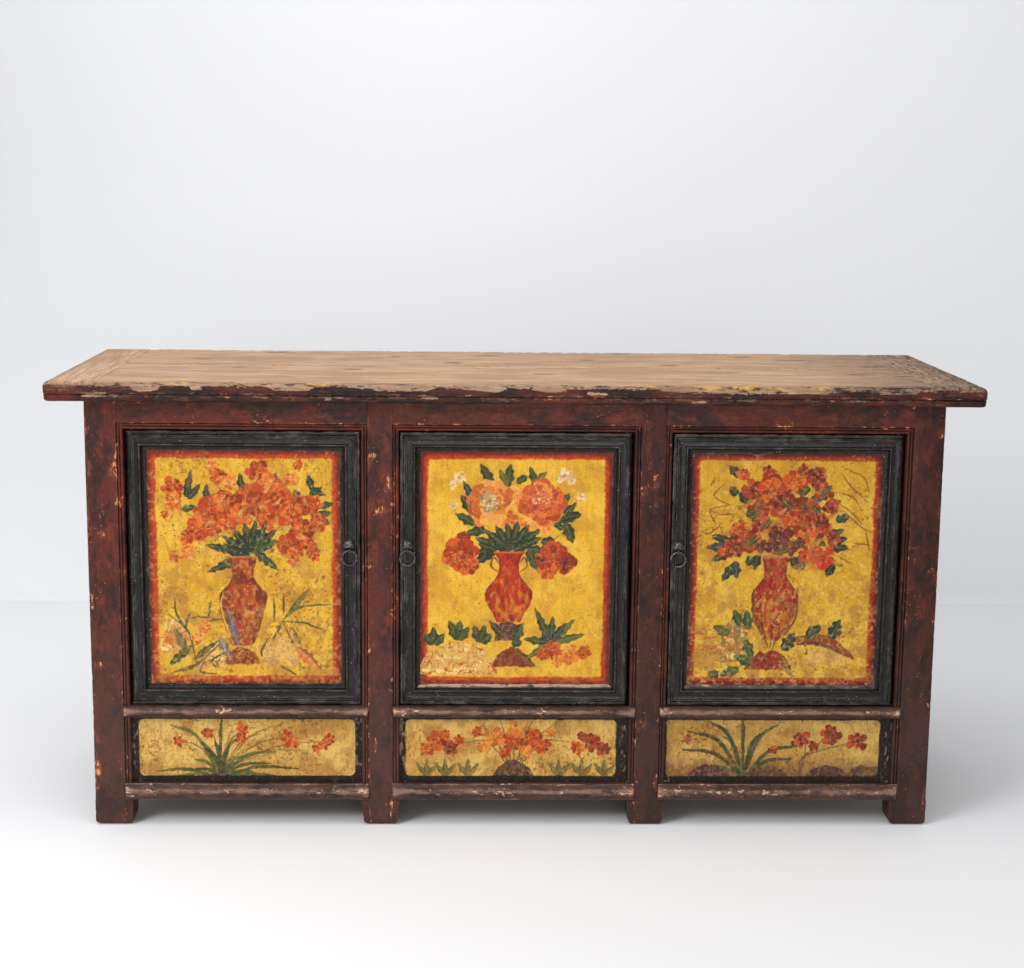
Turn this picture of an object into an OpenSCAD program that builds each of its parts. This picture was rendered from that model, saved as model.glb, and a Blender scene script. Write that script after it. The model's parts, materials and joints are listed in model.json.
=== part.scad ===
// Three-door sideboard in frame-and-panel joinery, with pivot-hung doors and ring pulls.
// The origin is on the floor under the middle of the top: +X right, +Y back, +Z up.

/* [Top] */
// Length of the top over its two end boards
top_l = 1800; // [1720:10:1900]
// Depth of the top, front to back
top_d = 612; // [580:2:660]
// Thickness of the top boards
top_t = 37; // [34:1:42]
// Width of each end board
end_board_w = 100; // [92:1:115]
// Reach of the top past the outer posts
side_overhang = 68; // [60:1:80]
// Reach of the top past the front frame
front_overhang = 45; // [30:1:55]
// Reach of the top past the back frame
back_overhang = 14; // [6:1:24]

/* [Frame] */
// Height of the whole cabinet
height = 893; // [880:1:920]
// Width of a post, seen from the front
post_w = 74; // [70:1:80]
// Depth of a post, front to back
post_d = 60; // [56:1:70]
// Width of the beaded margin round each opening
margin_w = 13; // [13:0.5:15]
// Clear height under the bottom rails
foot_h = 53; // [45:1:60]
// Height of a bottom rail
bottom_rail_h = 33; // [30:1:38]
// Height of the middle rails' underside above the floor
mid_rail_z = 223; // [200:1:240]
// Height of a middle rail
mid_rail_h = 24; // [24:1:30]
// Height of a top rail
top_rail_h = 59; // [50:1:70]
// How far the rounded rails stand proud of the posts
nose_proud = 9; // [6:0.5:10]

/* [Panels] */
// Thickness of the frame's side, back and lower panels
panel_t = 12; // [10:1:14]
// How far a panel's edge runs into its groove
groove_d = 6; // [4:1:6]
// Thickness of the floor boards
floor_t = 14; // [12:1:16]

/* [Doors] */
// Thickness of a door frame
door_t = 24; // [24:1:26]
// Width of a door frame member
member_w = 39; // [38:0.5:42]
// Depth of the door face behind the front of the posts
door_recess = 4; // [3:0.5:5]
// Gap beside a door
door_side_gap = 2; // [1.5:0.5:3]
// Gap above and below a door
door_end_gap = 2.5; // [2:0.5:4]
// Radius of the wooden pivot pins
pin_r = 6; // [5:0.5:6]
// Running clearance between a pin and its socket
pin_clearance = 0.05; // [0.02:0.01:0.1]

/* [Pulls] */
// Radius of the domed boss
boss_r = 12; // [11:0.5:12]
// Radius of a ring, to the middle of its wire
ring_r = 14.5; // [13:0.5:17]
// Radius of a ring's wire
wire_r = 1.6; // [1.4:0.1:1.8]
// Height of the staples' eyes above the floor
eye_z = 561; // [520:1:600]

/* [Hidden] */
$fn = 48;

// Bays and posts. Bays are -1, 0 and 1; post places are -1.5, -0.5, 0.5 and 1.5.
body_w = top_l - 2 * side_overhang;
bay_w = (body_w - 4 * post_w) / 3;
pitch = bay_w + post_w;
lap_w = bay_w + 2 * margin_w;
function bay_x(i) = i * pitch;

// Levels
top_z = height - top_t;
open_top = top_z - top_rail_h;
open_bottom = mid_rail_z + mid_rail_h;
lower_open_z = foot_h + bottom_rail_h;

// Front-to-back planes
front_y = -top_d / 2 + front_overhang;
back_y = top_d / 2 - back_overhang;
post_back_y = back_y - post_d;
plank_seam_y = 10;
plank_l = top_l - 2 * end_board_w;

// Joinery
rail_d = 40;
mid_rail_d = 44;
side_rail_t = 26;
side_rail_h = 47;
side_recess = 4;
tenon_l = 20;
tenon_t = 10;
tenon_set = 9;
tongue_l = 15;
tongue_z = 12;
tongue_t = 13;
stub = [30, 24, 18];
stub_shift = 18;
panel_set = 12;
floor_z = 64;
foot_flare = 2;
foot_taper = 4;
outer_foot_taper = 1;
foot_round = 11;
edge_round = 6;
cut = 1;

// Doors
door_w = bay_w - 2 * door_side_gap;
door_h = open_top - open_bottom - 2 * door_end_gap;
door_y = front_y + door_recess;
door_z = open_bottom + door_end_gap;
pivot_in = door_t / 2;
pin_l = 14;
socket_l = 13;
mitre_d = 6;
door_groove = [32, 12, 20];
door_tenon_l = 22;
stop_d = 0.5;
stop_h = 8;
stop_short = 45;

// Pulls
pull_in = 14;
pull_in_left = 21;
seat_d = 1.6;
eye_r = 3.4;
eye_wire_r = 1.3;
eye_out = 4.5;
shank_r = 2;
clinch = [4, 3, 12];
boss_up = 10.2;
boss_cut = 5;
boss_nail_r = 1.5;
boss_nail_l = 12;

// Finishes
red_lacquer = [0.36, 0.17, 0.15];
black_lacquer = [0.17, 0.16, 0.15];
bare_wood = [0.76, 0.62, 0.47];
yellow_ground = [0.88, 0.69, 0.22];
plain_wood = [0.50, 0.37, 0.26];
iron = [0.22, 0.21, 0.20];

// ---- Outlines ----

function arc(c, r, a0, a1, n) = [for (i = [0:n]) let (a = a0 + (a1 - a0) * i / n) c + r * [cos(a), sin(a)]];
function reverse(p) = [for (i = [len(p) - 1:-1:0]) p[i]];

// Beaded margin as [distance from the opening, depth], from the flat face to the opening
margin = concat(
    [[margin_w, 0], [12.4, 4]],
    arc([9.4, 4], 2.5, 0, -180, 6),
    arc([3.6, 4.5], 3, 0, -180, 6),
    [[0, 5.5]]
);

// Rounded rail front as [depth, height] with the given height and standing proud of zero
function nose(h) =
    let (r = (h * h / 4 + nose_proud * nose_proud) / (2 * nose_proud))
    arc([r - nose_proud, h / 2], r, 180 + asin(h / 2 / r), 180 - asin(h / 2 / r), 12);

// Moulded edge of the top as [depth from the edge, height above the underside]
function top_edge() = concat(
    arc([7, 6], 6, 270, 180, 4),
    [[1, 12], [3, 13.5], [0, 15]],
    arc([10, top_t - 10], 10, 180, 90, 6)
);

// Door frame member as [distance from the outer edge, depth from the face]
door_profile = concat(
    [[0, door_t], [0, 2.2], [1.4, 0.8], [6.2, 0.8]],
    arc([9, 2.2], 2.2, 180, 360, 6),
    [[12, 1.6], [23.4, 1.6]],
    arc([27, 3], 3, 180, 360, 6),
    arc([36.5, 4], 6, 180, 90, 4),
    [[member_w, 11], [member_w, door_groove[1]], [door_groove[0], door_groove[1]],
     [door_groove[0], door_groove[2]], [member_w, door_groove[2]], [member_w, door_t]]
);

// ---- Helpers ----

// A box from its lowest to its highest corner
module box(lo, hi) {
    translate(lo) cube(hi - lo);
}

// Extrudes an XZ outline from y0 to y1
module front_prism(outline, y0, y1) {
    translate([0, y1, 0]) rotate([90, 0, 0]) linear_extrude(y1 - y0) polygon(outline);
}

// Extrudes a YZ outline from x0 to x1
module side_prism(outline, x0, x1) {
    translate([x0, 0, 0]) rotate([90, 0, 90]) linear_extrude(x1 - x0) polygon(outline);
}

// ---- Top ----

// Front edge moulding carried back to y1
module edge_front(x0, x1, y1) {
    outline = concat([[y1, 0]], [for (p = top_edge()) [p[0] - top_d / 2, p[1]]], [[y1, top_t]]);
    translate([0, 0, top_z]) side_prism(outline, x0, x1);
}

module plank_blank(x, y0, y1) {
    if (y0 < 0)
        edge_front(-x, x, y1);
    else
        box([-x, y0, top_z], [x, y1, height]);
}

// A long top board with tongues into the end boards and sockets for the posts' stubs
module top_plank(y0, y1) {
    tongue_front = y0 < 0 ? y0 + 30 : y0;
    tongue_back = y0 < 0 ? y1 : y1 - 30;
    tongue_x = plank_l / 2 + tongue_l;
    color(bare_wood) difference() {
        union() {
            plank_blank(plank_l / 2, y0, y1);
            box([-tongue_x, tongue_front, top_z + tongue_z], [tongue_x, tongue_back, top_z + tongue_z + tongue_t]);
        }
        post_stubs();
    }
}

// An end board across the grain; side is -1 or 1
module top_end(side) {
    x1 = top_l / 2;
    end_outline = concat([[plank_l / 2, 0]], [for (p = top_edge()) [x1 - p[0], p[1]]], [[plank_l / 2, top_t]]);
    color(bare_wood) mirror([side < 0 ? 1 : 0, 0, 0]) difference() {
        intersection() {
            edge_front(plank_l / 2, x1, top_d / 2);
            translate([0, 0, top_z]) front_prism(end_outline, -top_d / 2, top_d / 2);
            translate([0, 0, top_z]) linear_extrude(top_t) difference() {
                translate([0, -top_d / 2]) square([x1, top_d]);
                translate([x1 - 14, -top_d / 2 + 14]) corner_cut(14);
            }
        }
        box([plank_l / 2 - cut, -top_d / 2 + 30, top_z + tongue_z],
            [plank_l / 2 + tongue_l, top_d / 2 - 30, top_z + tongue_z + tongue_t]);
    }
}

// What a rounding of radius r takes off a corner that points to +X and -Y
module corner_cut(r) {
    difference() {
        translate([0, -r - cut]) square([r + cut, r + cut]);
        circle(r);
    }
}

// ---- Posts ----

// Plan of a front post, face at y = 0, with a beaded margin on each side that has an opening
module post_plan(left, right) {
    h = post_w / 2;
    left_edge = left
        ? [for (p = reverse(margin)) [p[0] - h, p[1]]]
        : arc([edge_round - h, edge_round], edge_round, 180, 270, 4);
    right_edge = right
        ? [for (p = margin) [h - p[0], p[1]]]
        : arc([h - edge_round, edge_round], edge_round, 270, 360, 4);
    polygon(concat([[-h, post_d]], left_edge, right_edge, [[h, post_d]]));
}

// Foot with rounded lower edges; a flare of 0 leaves that side upright
module foot(flare_left, flare_right) {
    h = post_w / 2;
    r = foot_round;
    taper = min(flare_left, flare_right) > 0 ? foot_taper : outer_foot_taper;
    left = h - (flare_left > 0 ? taper : 0);
    right = h - (flare_right > 0 ? taper : 0);
    front_outline = concat(
        [[-h - flare_left, foot_h]],
        arc([r - left, r], r, 180, 270, 5),
        arc([right - r, r], r, 270, 360, 5),
        [[h + flare_right, foot_h]]
    );
    side_outline = concat(
        [[0, foot_h]],
        arc([r, r], r, 180, 270, 5),
        arc([post_d - r, r], r, 270, 360, 5),
        [[post_d, foot_h]]
    );
    intersection() {
        front_prism(front_outline, 0, post_d);
        side_prism(side_outline, -post_w, post_w);
    }
}

function stub_x(k) = k * pitch - (abs(k) > 1 ? sign(k) * stub_shift : 0);

// Stub tenon on top of the post at place k in the row whose front is at y
module post_stub(k, y) {
    translate([stub_x(k) - stub[0] / 2, y + (post_d - stub[1]) / 2, top_z]) cube(stub);
}

module post_stubs() {
    for (k = [-1.5:1:1.5]) {
        post_stub(k, front_y);
        post_stub(k, post_back_y);
    }
}

module front_post(k) {
    left = k > -1;
    right = k < 1;
    color(red_lacquer) difference() {
        union() {
            translate([k * pitch, front_y, 0]) {
                translate([0, 0, foot_h]) linear_extrude(top_z - foot_h) post_plan(left, right);
                foot(left ? foot_flare : 0, right ? foot_flare : 0);
            }
            post_stub(k, front_y);
        }
        if (left)
            front_bay_seats(k - 0.5);
        if (right)
            front_bay_seats(k + 0.5);
        if (!left)
            side_frame_blank(-1);
        if (!right)
            side_frame_blank(1);
    }
}

module back_post(k) {
    h = post_w / 2;
    c = 3;
    plan = [[-h, c], [c - h, 0], [h - c, 0], [h, c], [h, post_d - c], [h - c, post_d], [c - h, post_d], [-h, post_d - c]];
    color(red_lacquer) difference() {
        union() {
            translate([k * pitch, post_back_y, 0]) {
                translate([0, 0, foot_h]) linear_extrude(top_z - foot_h) polygon(plan);
                foot(k > -1 ? foot_flare : 0, k < 1 ? foot_flare : 0);
            }
            post_stub(k, post_back_y);
        }
        if (k > -1)
            back_bay_blank(k - 0.5);
        if (k < 1)
            back_bay_blank(k + 0.5);
        if (k < -1)
            side_frame_blank(-1);
        if (k > 1)
            side_frame_blank(1);
    }
}

// ---- Front rails ----

// Tenons at both ends of a front rail, in the bay's own x
module rail_tenons(z0, z1) {
    reach = lap_w / 2 + tenon_l;
    box([-reach, front_y + tenon_set, z0], [reach, front_y + tenon_set + tenon_t, z1]);
}

// Outline of a top rail: its lower corners are mitred into the posts' margins
module top_rail_seat(i) {
    b = bay_w / 2;
    l = lap_w / 2;
    m = open_top + margin_w;
    outline = [[-b, open_top], [b, open_top], [l, m], [l, top_z], [-l, top_z], [-l, m]];
    translate([bay_x(i), 0, 0]) {
        front_prism(outline, front_y, front_y + rail_d);
        rail_tenons(open_top + 18, top_z - 10);
    }
}

// Lip behind the top of the door, ending short of the pivot
module door_stop(i) {
    stop_y = door_y + door_t + stop_d;
    translate([bay_x(i), 0, open_top - stop_h]) mirror([hinge_side(i) < 0 ? 1 : 0, 0, 0])
        translate([-bay_w / 2, stop_y, 0]) cube([bay_w - stop_short, front_y + rail_d - stop_y, stop_h]);
}

module top_rail(i) {
    y = front_y;
    section = concat(
        [[y + rail_d, top_z], [y, top_z]],
        [for (p = margin) [y + p[1], open_top + p[0]]],
        [[y + rail_d, open_top]]
    );
    color(red_lacquer) difference() {
        union() {
            intersection() {
                top_rail_seat(i);
                side_prism(section, bay_x(i) - pitch / 2, bay_x(i) + pitch / 2);
            }
            door_stop(i);
        }
        translate([pivot_x(i), pivot_y, open_top - cut]) cylinder(r = pin_r + pin_clearance, h = socket_l + cut);
    }
}

// A rail with a rounded front that laps over the posts' margins
module nosed_rail(i, z, h, d) {
    section = concat([for (p = nose(h)) [front_y + p[0], z + p[1]]], [[front_y + d, z + h], [front_y + d, z]]);
    l = lap_w / 2;
    translate([bay_x(i), 0, 0]) {
        intersection() {
            side_prism(section, -l, l);
            linear_extrude(height) difference() {
                translate([-l, front_y - nose_proud]) square([2 * l, d + nose_proud]);
                translate([l - nose_proud, front_y]) corner_cut(nose_proud);
                mirror([1, 0]) translate([l - nose_proud, front_y]) corner_cut(nose_proud);
            }
        }
        rail_tenons(z + 5, z + h - 5);
    }
}

module mid_rail_blank(i) {
    nosed_rail(i, mid_rail_z, mid_rail_h, mid_rail_d);
}

module bottom_rail_blank(i) {
    nosed_rail(i, foot_h, bottom_rail_h, rail_d);
}

module mid_rail(i) {
    color(red_lacquer) difference() {
        mid_rail_blank(i);
        lower_panel(i);
        translate([pivot_x(i), pivot_y, open_bottom - socket_l])
            cylinder(r = pin_r + pin_clearance, h = socket_l + cut);
    }
}

module bottom_rail(i) {
    color(red_lacquer) difference() {
        bottom_rail_blank(i);
        lower_panel(i);
        floor_board(i);
    }
}

// Everything of bay i that is let into a front post
module front_bay_seats(i) {
    top_rail_seat(i);
    mid_rail_blank(i);
    bottom_rail_blank(i);
    lower_panel(i);
}

// ---- Panels and floor ----

module lower_panel(i) {
    x = bay_w / 2 + groove_d;
    y = front_y + panel_set;
    color(yellow_ground) translate([bay_x(i), 0, 0])
        box([-x, y, lower_open_z - groove_d], [x, y + panel_t, mid_rail_z + groove_d]);
}

// Floor board of bay i, cut round the posts and let into the rails
module floor_board(i) {
    inner = pitch / 2;
    outer = body_w / 2 - side_recess - side_rail_t + groove_d - pitch;
    x0 = i < 0 ? -outer : -inner;
    x1 = i > 0 ? outer : inner;
    y0 = front_y + rail_d - groove_d;
    y1 = back_y - side_recess - side_rail_t + groove_d;
    h = post_w / 2;
    color(plain_wood) translate([bay_x(i), 0, 0]) difference() {
        box([x0, y0, floor_z], [x1, y1, floor_z + floor_t]);
        for (s = [-1, 1]) {
            translate([s * pitch / 2, 0, 0]) {
                box([-h - (s > 0 ? 0 : post_w), y0 - cut, 0], [h + (s > 0 ? post_w : 0), front_y + post_d, height]);
                box([-h - (s > 0 ? 0 : post_w), post_back_y, 0], [h + (s > 0 ? post_w : 0), y1 + cut, height]);
            }
        }
    }
}

module floor_boards() {
    for (i = [-1:1])
        floor_board(i);
}

// ---- Sides ----

module side_rail_blank(side, z0, z1) {
    x1 = body_w / 2 - side_recess;
    t = [x1 - side_rail_t + 8, x1 - 8];
    mirror([side < 0 ? 1 : 0, 0, 0]) {
        box([x1 - side_rail_t, front_y + post_d, z0], [x1, post_back_y, z1]);
        box([t[0], front_y + post_d - tenon_l, z0 + 8], [t[1], post_back_y + tenon_l, z1 - 8]);
    }
}

module side_panel(side) {
    x0 = body_w / 2 - side_recess - 16;
    color(red_lacquer) mirror([side < 0 ? 1 : 0, 0, 0])
        box([x0, front_y + post_d - groove_d, foot_h + side_rail_h - groove_d],
            [x0 + panel_t, post_back_y + groove_d, open_top + groove_d]);
}

module side_frame_blank(side) {
    side_rail_blank(side, open_top, top_z);
    side_rail_blank(side, foot_h, foot_h + side_rail_h);
    side_panel(side);
}

module side_rail_top(side) {
    color(red_lacquer) difference() {
        side_rail_blank(side, open_top, top_z);
        side_panel(side);
    }
}

module side_rail_bottom(side) {
    color(red_lacquer) difference() {
        side_rail_blank(side, foot_h, foot_h + side_rail_h);
        side_panel(side);
        floor_board(side);
    }
}

// ---- Back ----

module back_rail_blank(i, z0, z1) {
    y1 = back_y - side_recess;
    b = bay_w / 2;
    translate([bay_x(i), 0, 0]) {
        box([-b, y1 - side_rail_t, z0], [b, y1, z1]);
        box([-b - tenon_l, y1 - side_rail_t + 8, z0 + 8], [b + tenon_l, y1 - 8, z1 - 8]);
    }
}

module back_panel(i) {
    x = bay_w / 2 + groove_d;
    y = back_y - side_recess - side_rail_t + 6;
    color(plain_wood) translate([bay_x(i), 0, 0])
        box([-x, y, foot_h + side_rail_h - groove_d], [x, y + panel_t, open_top + groove_d]);
}

module back_bay_blank(i) {
    back_rail_blank(i, open_top, top_z);
    back_rail_blank(i, foot_h, foot_h + side_rail_h);
    back_panel(i);
}

module back_rails_top() {
    color(plain_wood) for (i = [-1:1]) difference() {
        back_rail_blank(i, open_top, top_z);
        back_panel(i);
    }
}

module back_rails_bottom() {
    color(plain_wood) for (i = [-1:1]) difference() {
        back_rail_blank(i, foot_h, foot_h + side_rail_h);
        back_panel(i);
        floor_board(i);
    }
}

// ---- Doors ----

// The left door hangs on its left side and the others on their right side
function hinge_side(i) = i < 0 ? -1 : 1;
function pivot_x(i) = bay_x(i) + hinge_side(i) * (door_w / 2 - pivot_in);
pivot_y = door_y + pivot_in;

// Puts a door's own frame in bay i: hinge edge at x = 0, face at y = 0, bottom at z = 0
module in_door(i) {
    translate([bay_x(i), door_y, door_z])
        mirror([hinge_side(i) > 0 ? 1 : 0, 0, 0])
            translate([-door_w / 2, 0, 0]) children();
}

module upright_moulding() {
    linear_extrude(door_h) polygon(door_profile);
}

module level_moulding() {
    mirror([1, 0, -1]) linear_extrude(door_w) polygon(door_profile);
}

// Turns a member on the hinge side, or at the bottom, into the one opposite
module to_lock_side() {
    translate([door_w, 0, 0]) mirror([1, 0, 0]) children();
}

module to_top() {
    translate([0, 0, door_h]) mirror([0, 0, 1]) children();
}

// Tenons of the bottom rail
module door_tenons() {
    for (x = [member_w - door_tenon_l, door_w - member_w])
        translate([x, 10, 8]) cube([door_tenon_l, 8, 22]);
}

// A stile on the hinge side: mitred in front, full height behind
module stile_body() {
    m = member_w;
    difference() {
        union() {
            intersection() {
                upright_moulding();
                front_prism([[0, 0], [m, m], [m, door_h - m], [0, door_h]], 0, door_t);
            }
            intersection() {
                union() {
                    upright_moulding();
                    level_moulding();
                }
                box([0, mitre_d, 0], [m, door_t, m]);
            }
            to_top() intersection() {
                union() {
                    upright_moulding();
                    level_moulding();
                }
                box([0, mitre_d, 0], [m, door_t, m]);
            }
        }
        door_tenons();
        to_top() door_tenons();
    }
}

// The plan of a door, with its hinge edge rounded about the pivot
module door_plan() {
    linear_extrude(door_h) difference() {
        square([door_w, door_t]);
        translate([pivot_in, pivot_in]) mirror([1, 0]) corner_cut(pivot_in);
    }
}

module hinge_stile(i) {
    color(black_lacquer) in_door(i) {
        intersection() {
            stile_body();
            door_plan();
        }
        translate([pivot_in, pivot_in, door_h]) cylinder(r = pin_r, h = pin_l);
        translate([pivot_in, pivot_in, -pin_l]) cylinder(r = pin_r, h = pin_l);
    }
}

module lock_stile(i) {
    color(black_lacquer) difference() {
        in_door(i) to_lock_side() stile_body();
        at_pull(i) {
            translate([0, seat_d, boss_up]) rotate([90, 0, 0]) cylinder(r = boss_r + 1, h = 6);
            rotate([-90, 0, 0]) cylinder(r = shank_r, h = door_t + cut);
            translate([0, 0, boss_up]) rotate([-90, 0, 0]) cylinder(r = boss_nail_r, h = boss_nail_l + seat_d);
        }
    }
}

module rail_body() {
    m = member_w;
    intersection() {
        level_moulding();
        union() {
            front_prism([[0, 0], [door_w, 0], [door_w - m, m], [m, m]], 0, mitre_d);
            box([m, 0, 0], [door_w - m, door_t, m]);
        }
        door_plan();
    }
    door_tenons();
}

module door_rail_bottom(i) {
    color(black_lacquer) in_door(i) rail_body();
}

module door_rail_top(i) {
    color(black_lacquer) in_door(i) to_top() rail_body();
}

module door_panel(i) {
    g = door_groove[0];
    color(yellow_ground) in_door(i)
        box([g, door_groove[1], g], [door_w - g, door_groove[2], door_h - g]);
}

// ---- Pulls ----

// Puts the origin on the door face of bay i, at the height of the staple's eye
module at_pull(i) {
    inset = i < 0 ? pull_in_left : pull_in;
    x = bay_x(i) - hinge_side(i) * (door_w / 2 - inset);
    translate([x, door_y, eye_z]) children();
}

// Domed iron boss with its nail, cut flat underneath
module pull_boss(i) {
    color(iron) at_pull(i) translate([0, seat_d, boss_up]) {
        intersection() {
            sphere(boss_r);
            box([-boss_r, -boss_r, -boss_cut], [boss_r, 0, boss_r]);
        }
        rotate([-90, 0, 0]) cylinder(r = boss_nail_r, h = boss_nail_l);
    }
}

// Eye that carries the ring, with its shank through the stile and clinched behind
module pull_staple(i) {
    color(iron) at_pull(i) {
        translate([-eye_wire_r, -eye_out, 0]) rotate([0, 90, 0]) difference() {
            cylinder(r = eye_r + eye_wire_r, h = 2 * eye_wire_r);
            translate([0, 0, -cut]) cylinder(r = eye_r - eye_wire_r, h = 2 * eye_wire_r + 2 * cut);
        }
        translate([0, eye_r - eye_out - eye_wire_r + 0.7, 0]) rotate([-90, 0, 0])
            cylinder(r = shank_r, h = door_t + clinch[1] + eye_out - eye_r + eye_wire_r - 0.7);
        translate([-clinch[0] / 2, door_t, 2 - clinch[2]]) cube(clinch);
    }
}

module pull_ring(i) {
    color(iron) at_pull(i) translate([0, -eye_out, -ring_r]) rotate([90, 0, 0])
        rotate_extrude() translate([ring_r, 0]) circle(wire_r);
}

// ---- Nodes ----

top_plank(-top_d / 2, plank_seam_y);  // top_plank_front
top_plank(plank_seam_y, top_d / 2);  // top_plank_back
top_end(-1);  // top_end_left
top_end(1);  // top_end_right
front_post(-1.5);  // post_front_left
front_post(-0.5);  // post_front_mid_left
front_post(0.5);  // post_front_mid_right
front_post(1.5);  // post_front_right
back_post(-1.5);  // post_back_left
back_post(-0.5);  // post_back_mid_left
back_post(0.5);  // post_back_mid_right
back_post(1.5);  // post_back_right
top_rail(-1);  // rail_top_left
top_rail(0);  // rail_top_centre
top_rail(1);  // rail_top_right
mid_rail(-1);  // rail_mid_left
mid_rail(0);  // rail_mid_centre
mid_rail(1);  // rail_mid_right
bottom_rail(-1);  // rail_bottom_left
bottom_rail(0);  // rail_bottom_centre
bottom_rail(1);  // rail_bottom_right
lower_panel(-1);  // lower_panel_left
lower_panel(0);  // lower_panel_centre
lower_panel(1);  // lower_panel_right
side_rail_top(-1);  // side_rail_top_left
side_rail_top(1);  // side_rail_top_right
side_rail_bottom(-1);  // side_rail_bottom_left
side_rail_bottom(1);  // side_rail_bottom_right
side_panel(-1);  // side_panel_left
side_panel(1);  // side_panel_right
back_rails_top();
back_rails_bottom();
back_panel(-1);  // back_panel_left
back_panel(0);  // back_panel_centre
back_panel(1);  // back_panel_right
floor_boards();
hinge_stile(-1);  // door_left_hinge_stile
lock_stile(-1);  // door_left_lock_stile
door_rail_top(-1);  // door_left_rail_top
door_rail_bottom(-1);  // door_left_rail_bottom
door_panel(-1);  // door_left_panel
hinge_stile(0);  // door_centre_hinge_stile
lock_stile(0);  // door_centre_lock_stile
door_rail_top(0);  // door_centre_rail_top
door_rail_bottom(0);  // door_centre_rail_bottom
door_panel(0);  // door_centre_panel
hinge_stile(1);  // door_right_hinge_stile
lock_stile(1);  // door_right_lock_stile
door_rail_top(1);  // door_right_rail_top
door_rail_bottom(1);  // door_right_rail_bottom
door_panel(1);  // door_right_panel
pull_boss(-1);  // pull_boss_left
pull_boss(0);  // pull_boss_centre
pull_boss(1);  // pull_boss_right
pull_staple(-1);  // pull_staple_left
pull_staple(0);  // pull_staple_centre
pull_staple(1);  // pull_staple_right
pull_ring(-1);  // pull_ring_left
pull_ring(0);  // pull_ring_centre
pull_ring(1);  // pull_ring_right
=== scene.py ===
import json
import math

import bpy
import numpy as np
from mathutils import Matrix, Vector

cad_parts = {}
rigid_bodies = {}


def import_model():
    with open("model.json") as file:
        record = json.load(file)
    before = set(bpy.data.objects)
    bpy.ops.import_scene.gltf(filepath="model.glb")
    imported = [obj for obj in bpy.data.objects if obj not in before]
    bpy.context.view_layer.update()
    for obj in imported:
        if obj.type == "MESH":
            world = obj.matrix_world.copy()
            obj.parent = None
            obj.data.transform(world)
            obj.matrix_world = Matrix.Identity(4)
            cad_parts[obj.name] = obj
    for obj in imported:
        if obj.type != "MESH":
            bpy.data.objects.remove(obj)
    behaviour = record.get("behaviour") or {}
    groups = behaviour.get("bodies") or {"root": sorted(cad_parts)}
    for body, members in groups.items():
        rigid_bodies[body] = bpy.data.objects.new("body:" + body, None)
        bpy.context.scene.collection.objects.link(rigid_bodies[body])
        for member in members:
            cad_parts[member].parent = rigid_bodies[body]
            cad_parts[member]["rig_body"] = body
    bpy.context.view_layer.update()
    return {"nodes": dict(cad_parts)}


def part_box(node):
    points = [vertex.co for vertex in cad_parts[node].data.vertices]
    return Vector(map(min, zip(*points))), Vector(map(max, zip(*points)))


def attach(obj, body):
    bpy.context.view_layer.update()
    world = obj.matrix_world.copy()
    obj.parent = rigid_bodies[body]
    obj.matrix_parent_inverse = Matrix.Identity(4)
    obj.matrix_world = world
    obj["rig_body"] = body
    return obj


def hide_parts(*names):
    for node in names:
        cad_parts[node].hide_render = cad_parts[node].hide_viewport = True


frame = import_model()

MM = 0.001
BAYS = ("left", "centre", "right")

# ---- Dimensions of the CAD frame, in metres ----

TOP_LO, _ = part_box("top_end_left")
_, TOP_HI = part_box("top_end_right")
SEAM_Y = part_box("top_plank_front")[1].y
POST_LO, POST_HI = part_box("post_front_left")
POST_W = 74 * MM
POST_D = POST_HI.y - POST_LO.y
FRONT_Y = POST_LO.y
PITCH = 530 * MM
BAY_W = 456 * MM
MARGIN_W = 13 * MM
LAP_W = BAY_W + 2 * MARGIN_W
FOOT_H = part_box("rail_bottom_left")[0].z
TOP_Z = TOP_LO.z
OPEN_TOP = TOP_Z - 59 * MM
NOSE = 9 * MM
DOOR_T = 24 * MM
MEMBER_W = 39 * MM
PIVOT_IN = DOOR_T / 2
GROOVE = 7 * MM
EYE_Z = 561 * MM


def arc(centre, radius, start, end, count):
    """Points on an arc, in degrees; the same call as in the CAD source."""
    angles = np.radians(np.linspace(start, end, count + 1))
    return [(centre[0] + radius * math.cos(a), centre[1] + radius * math.sin(a)) for a in angles]


# Beaded margin as (distance from the opening, depth), in mm
MARGIN = [(13, 0), (12.4, 4)] + arc((9.4, 4), 2.5, 0, -180, 8) + arc((3.6, 4.5), 3, 0, -180, 8) + [(0, 5.5)]
# Door frame member as (distance from the outer edge, depth), in mm
DOOR_PROFILE = (
    [(0, 24), (0, 2.2), (1.4, 0.8), (6.2, 0.8)]
    + arc((9, 2.2), 2.2, 180, 360, 8)
    + [(12, 1.8), (14, 2.6), (17, 3.1), (20, 2.9), (22.8, 2.3)]
    + arc((27, 3), 3, 190, 360, 8)
    + arc((36.5, 4), 6, 180, 90, 5)
    + [(39, 11), (39, 24)]
)
# Moulded edge of the top as (depth from the edge, height above the underside), in mm
TOP_EDGE = arc((7, 6), 6, 270, 180, 5) + [(1, 12), (3, 13.5), (0, 15)] + arc((10, 27), 10, 180, 90, 8)

# ---- Repeatable noise ----


def lattice(i, j, k, seed):
    """A repeatable random number from 0 to 1 at each whole-number place."""
    h = (i * 374761393 + j * 668265263 + k * 1274126177 + seed * 974634777) & 0xFFFFFFFF
    h = ((h ^ (h >> 13)) * 1103515245) & 0xFFFFFFFF
    h = ((h ^ (h >> 16)) * 668265263) & 0xFFFFFFFF
    return ((h ^ (h >> 15)) & 0xFFFFFF) / 0xFFFFFF


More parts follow.
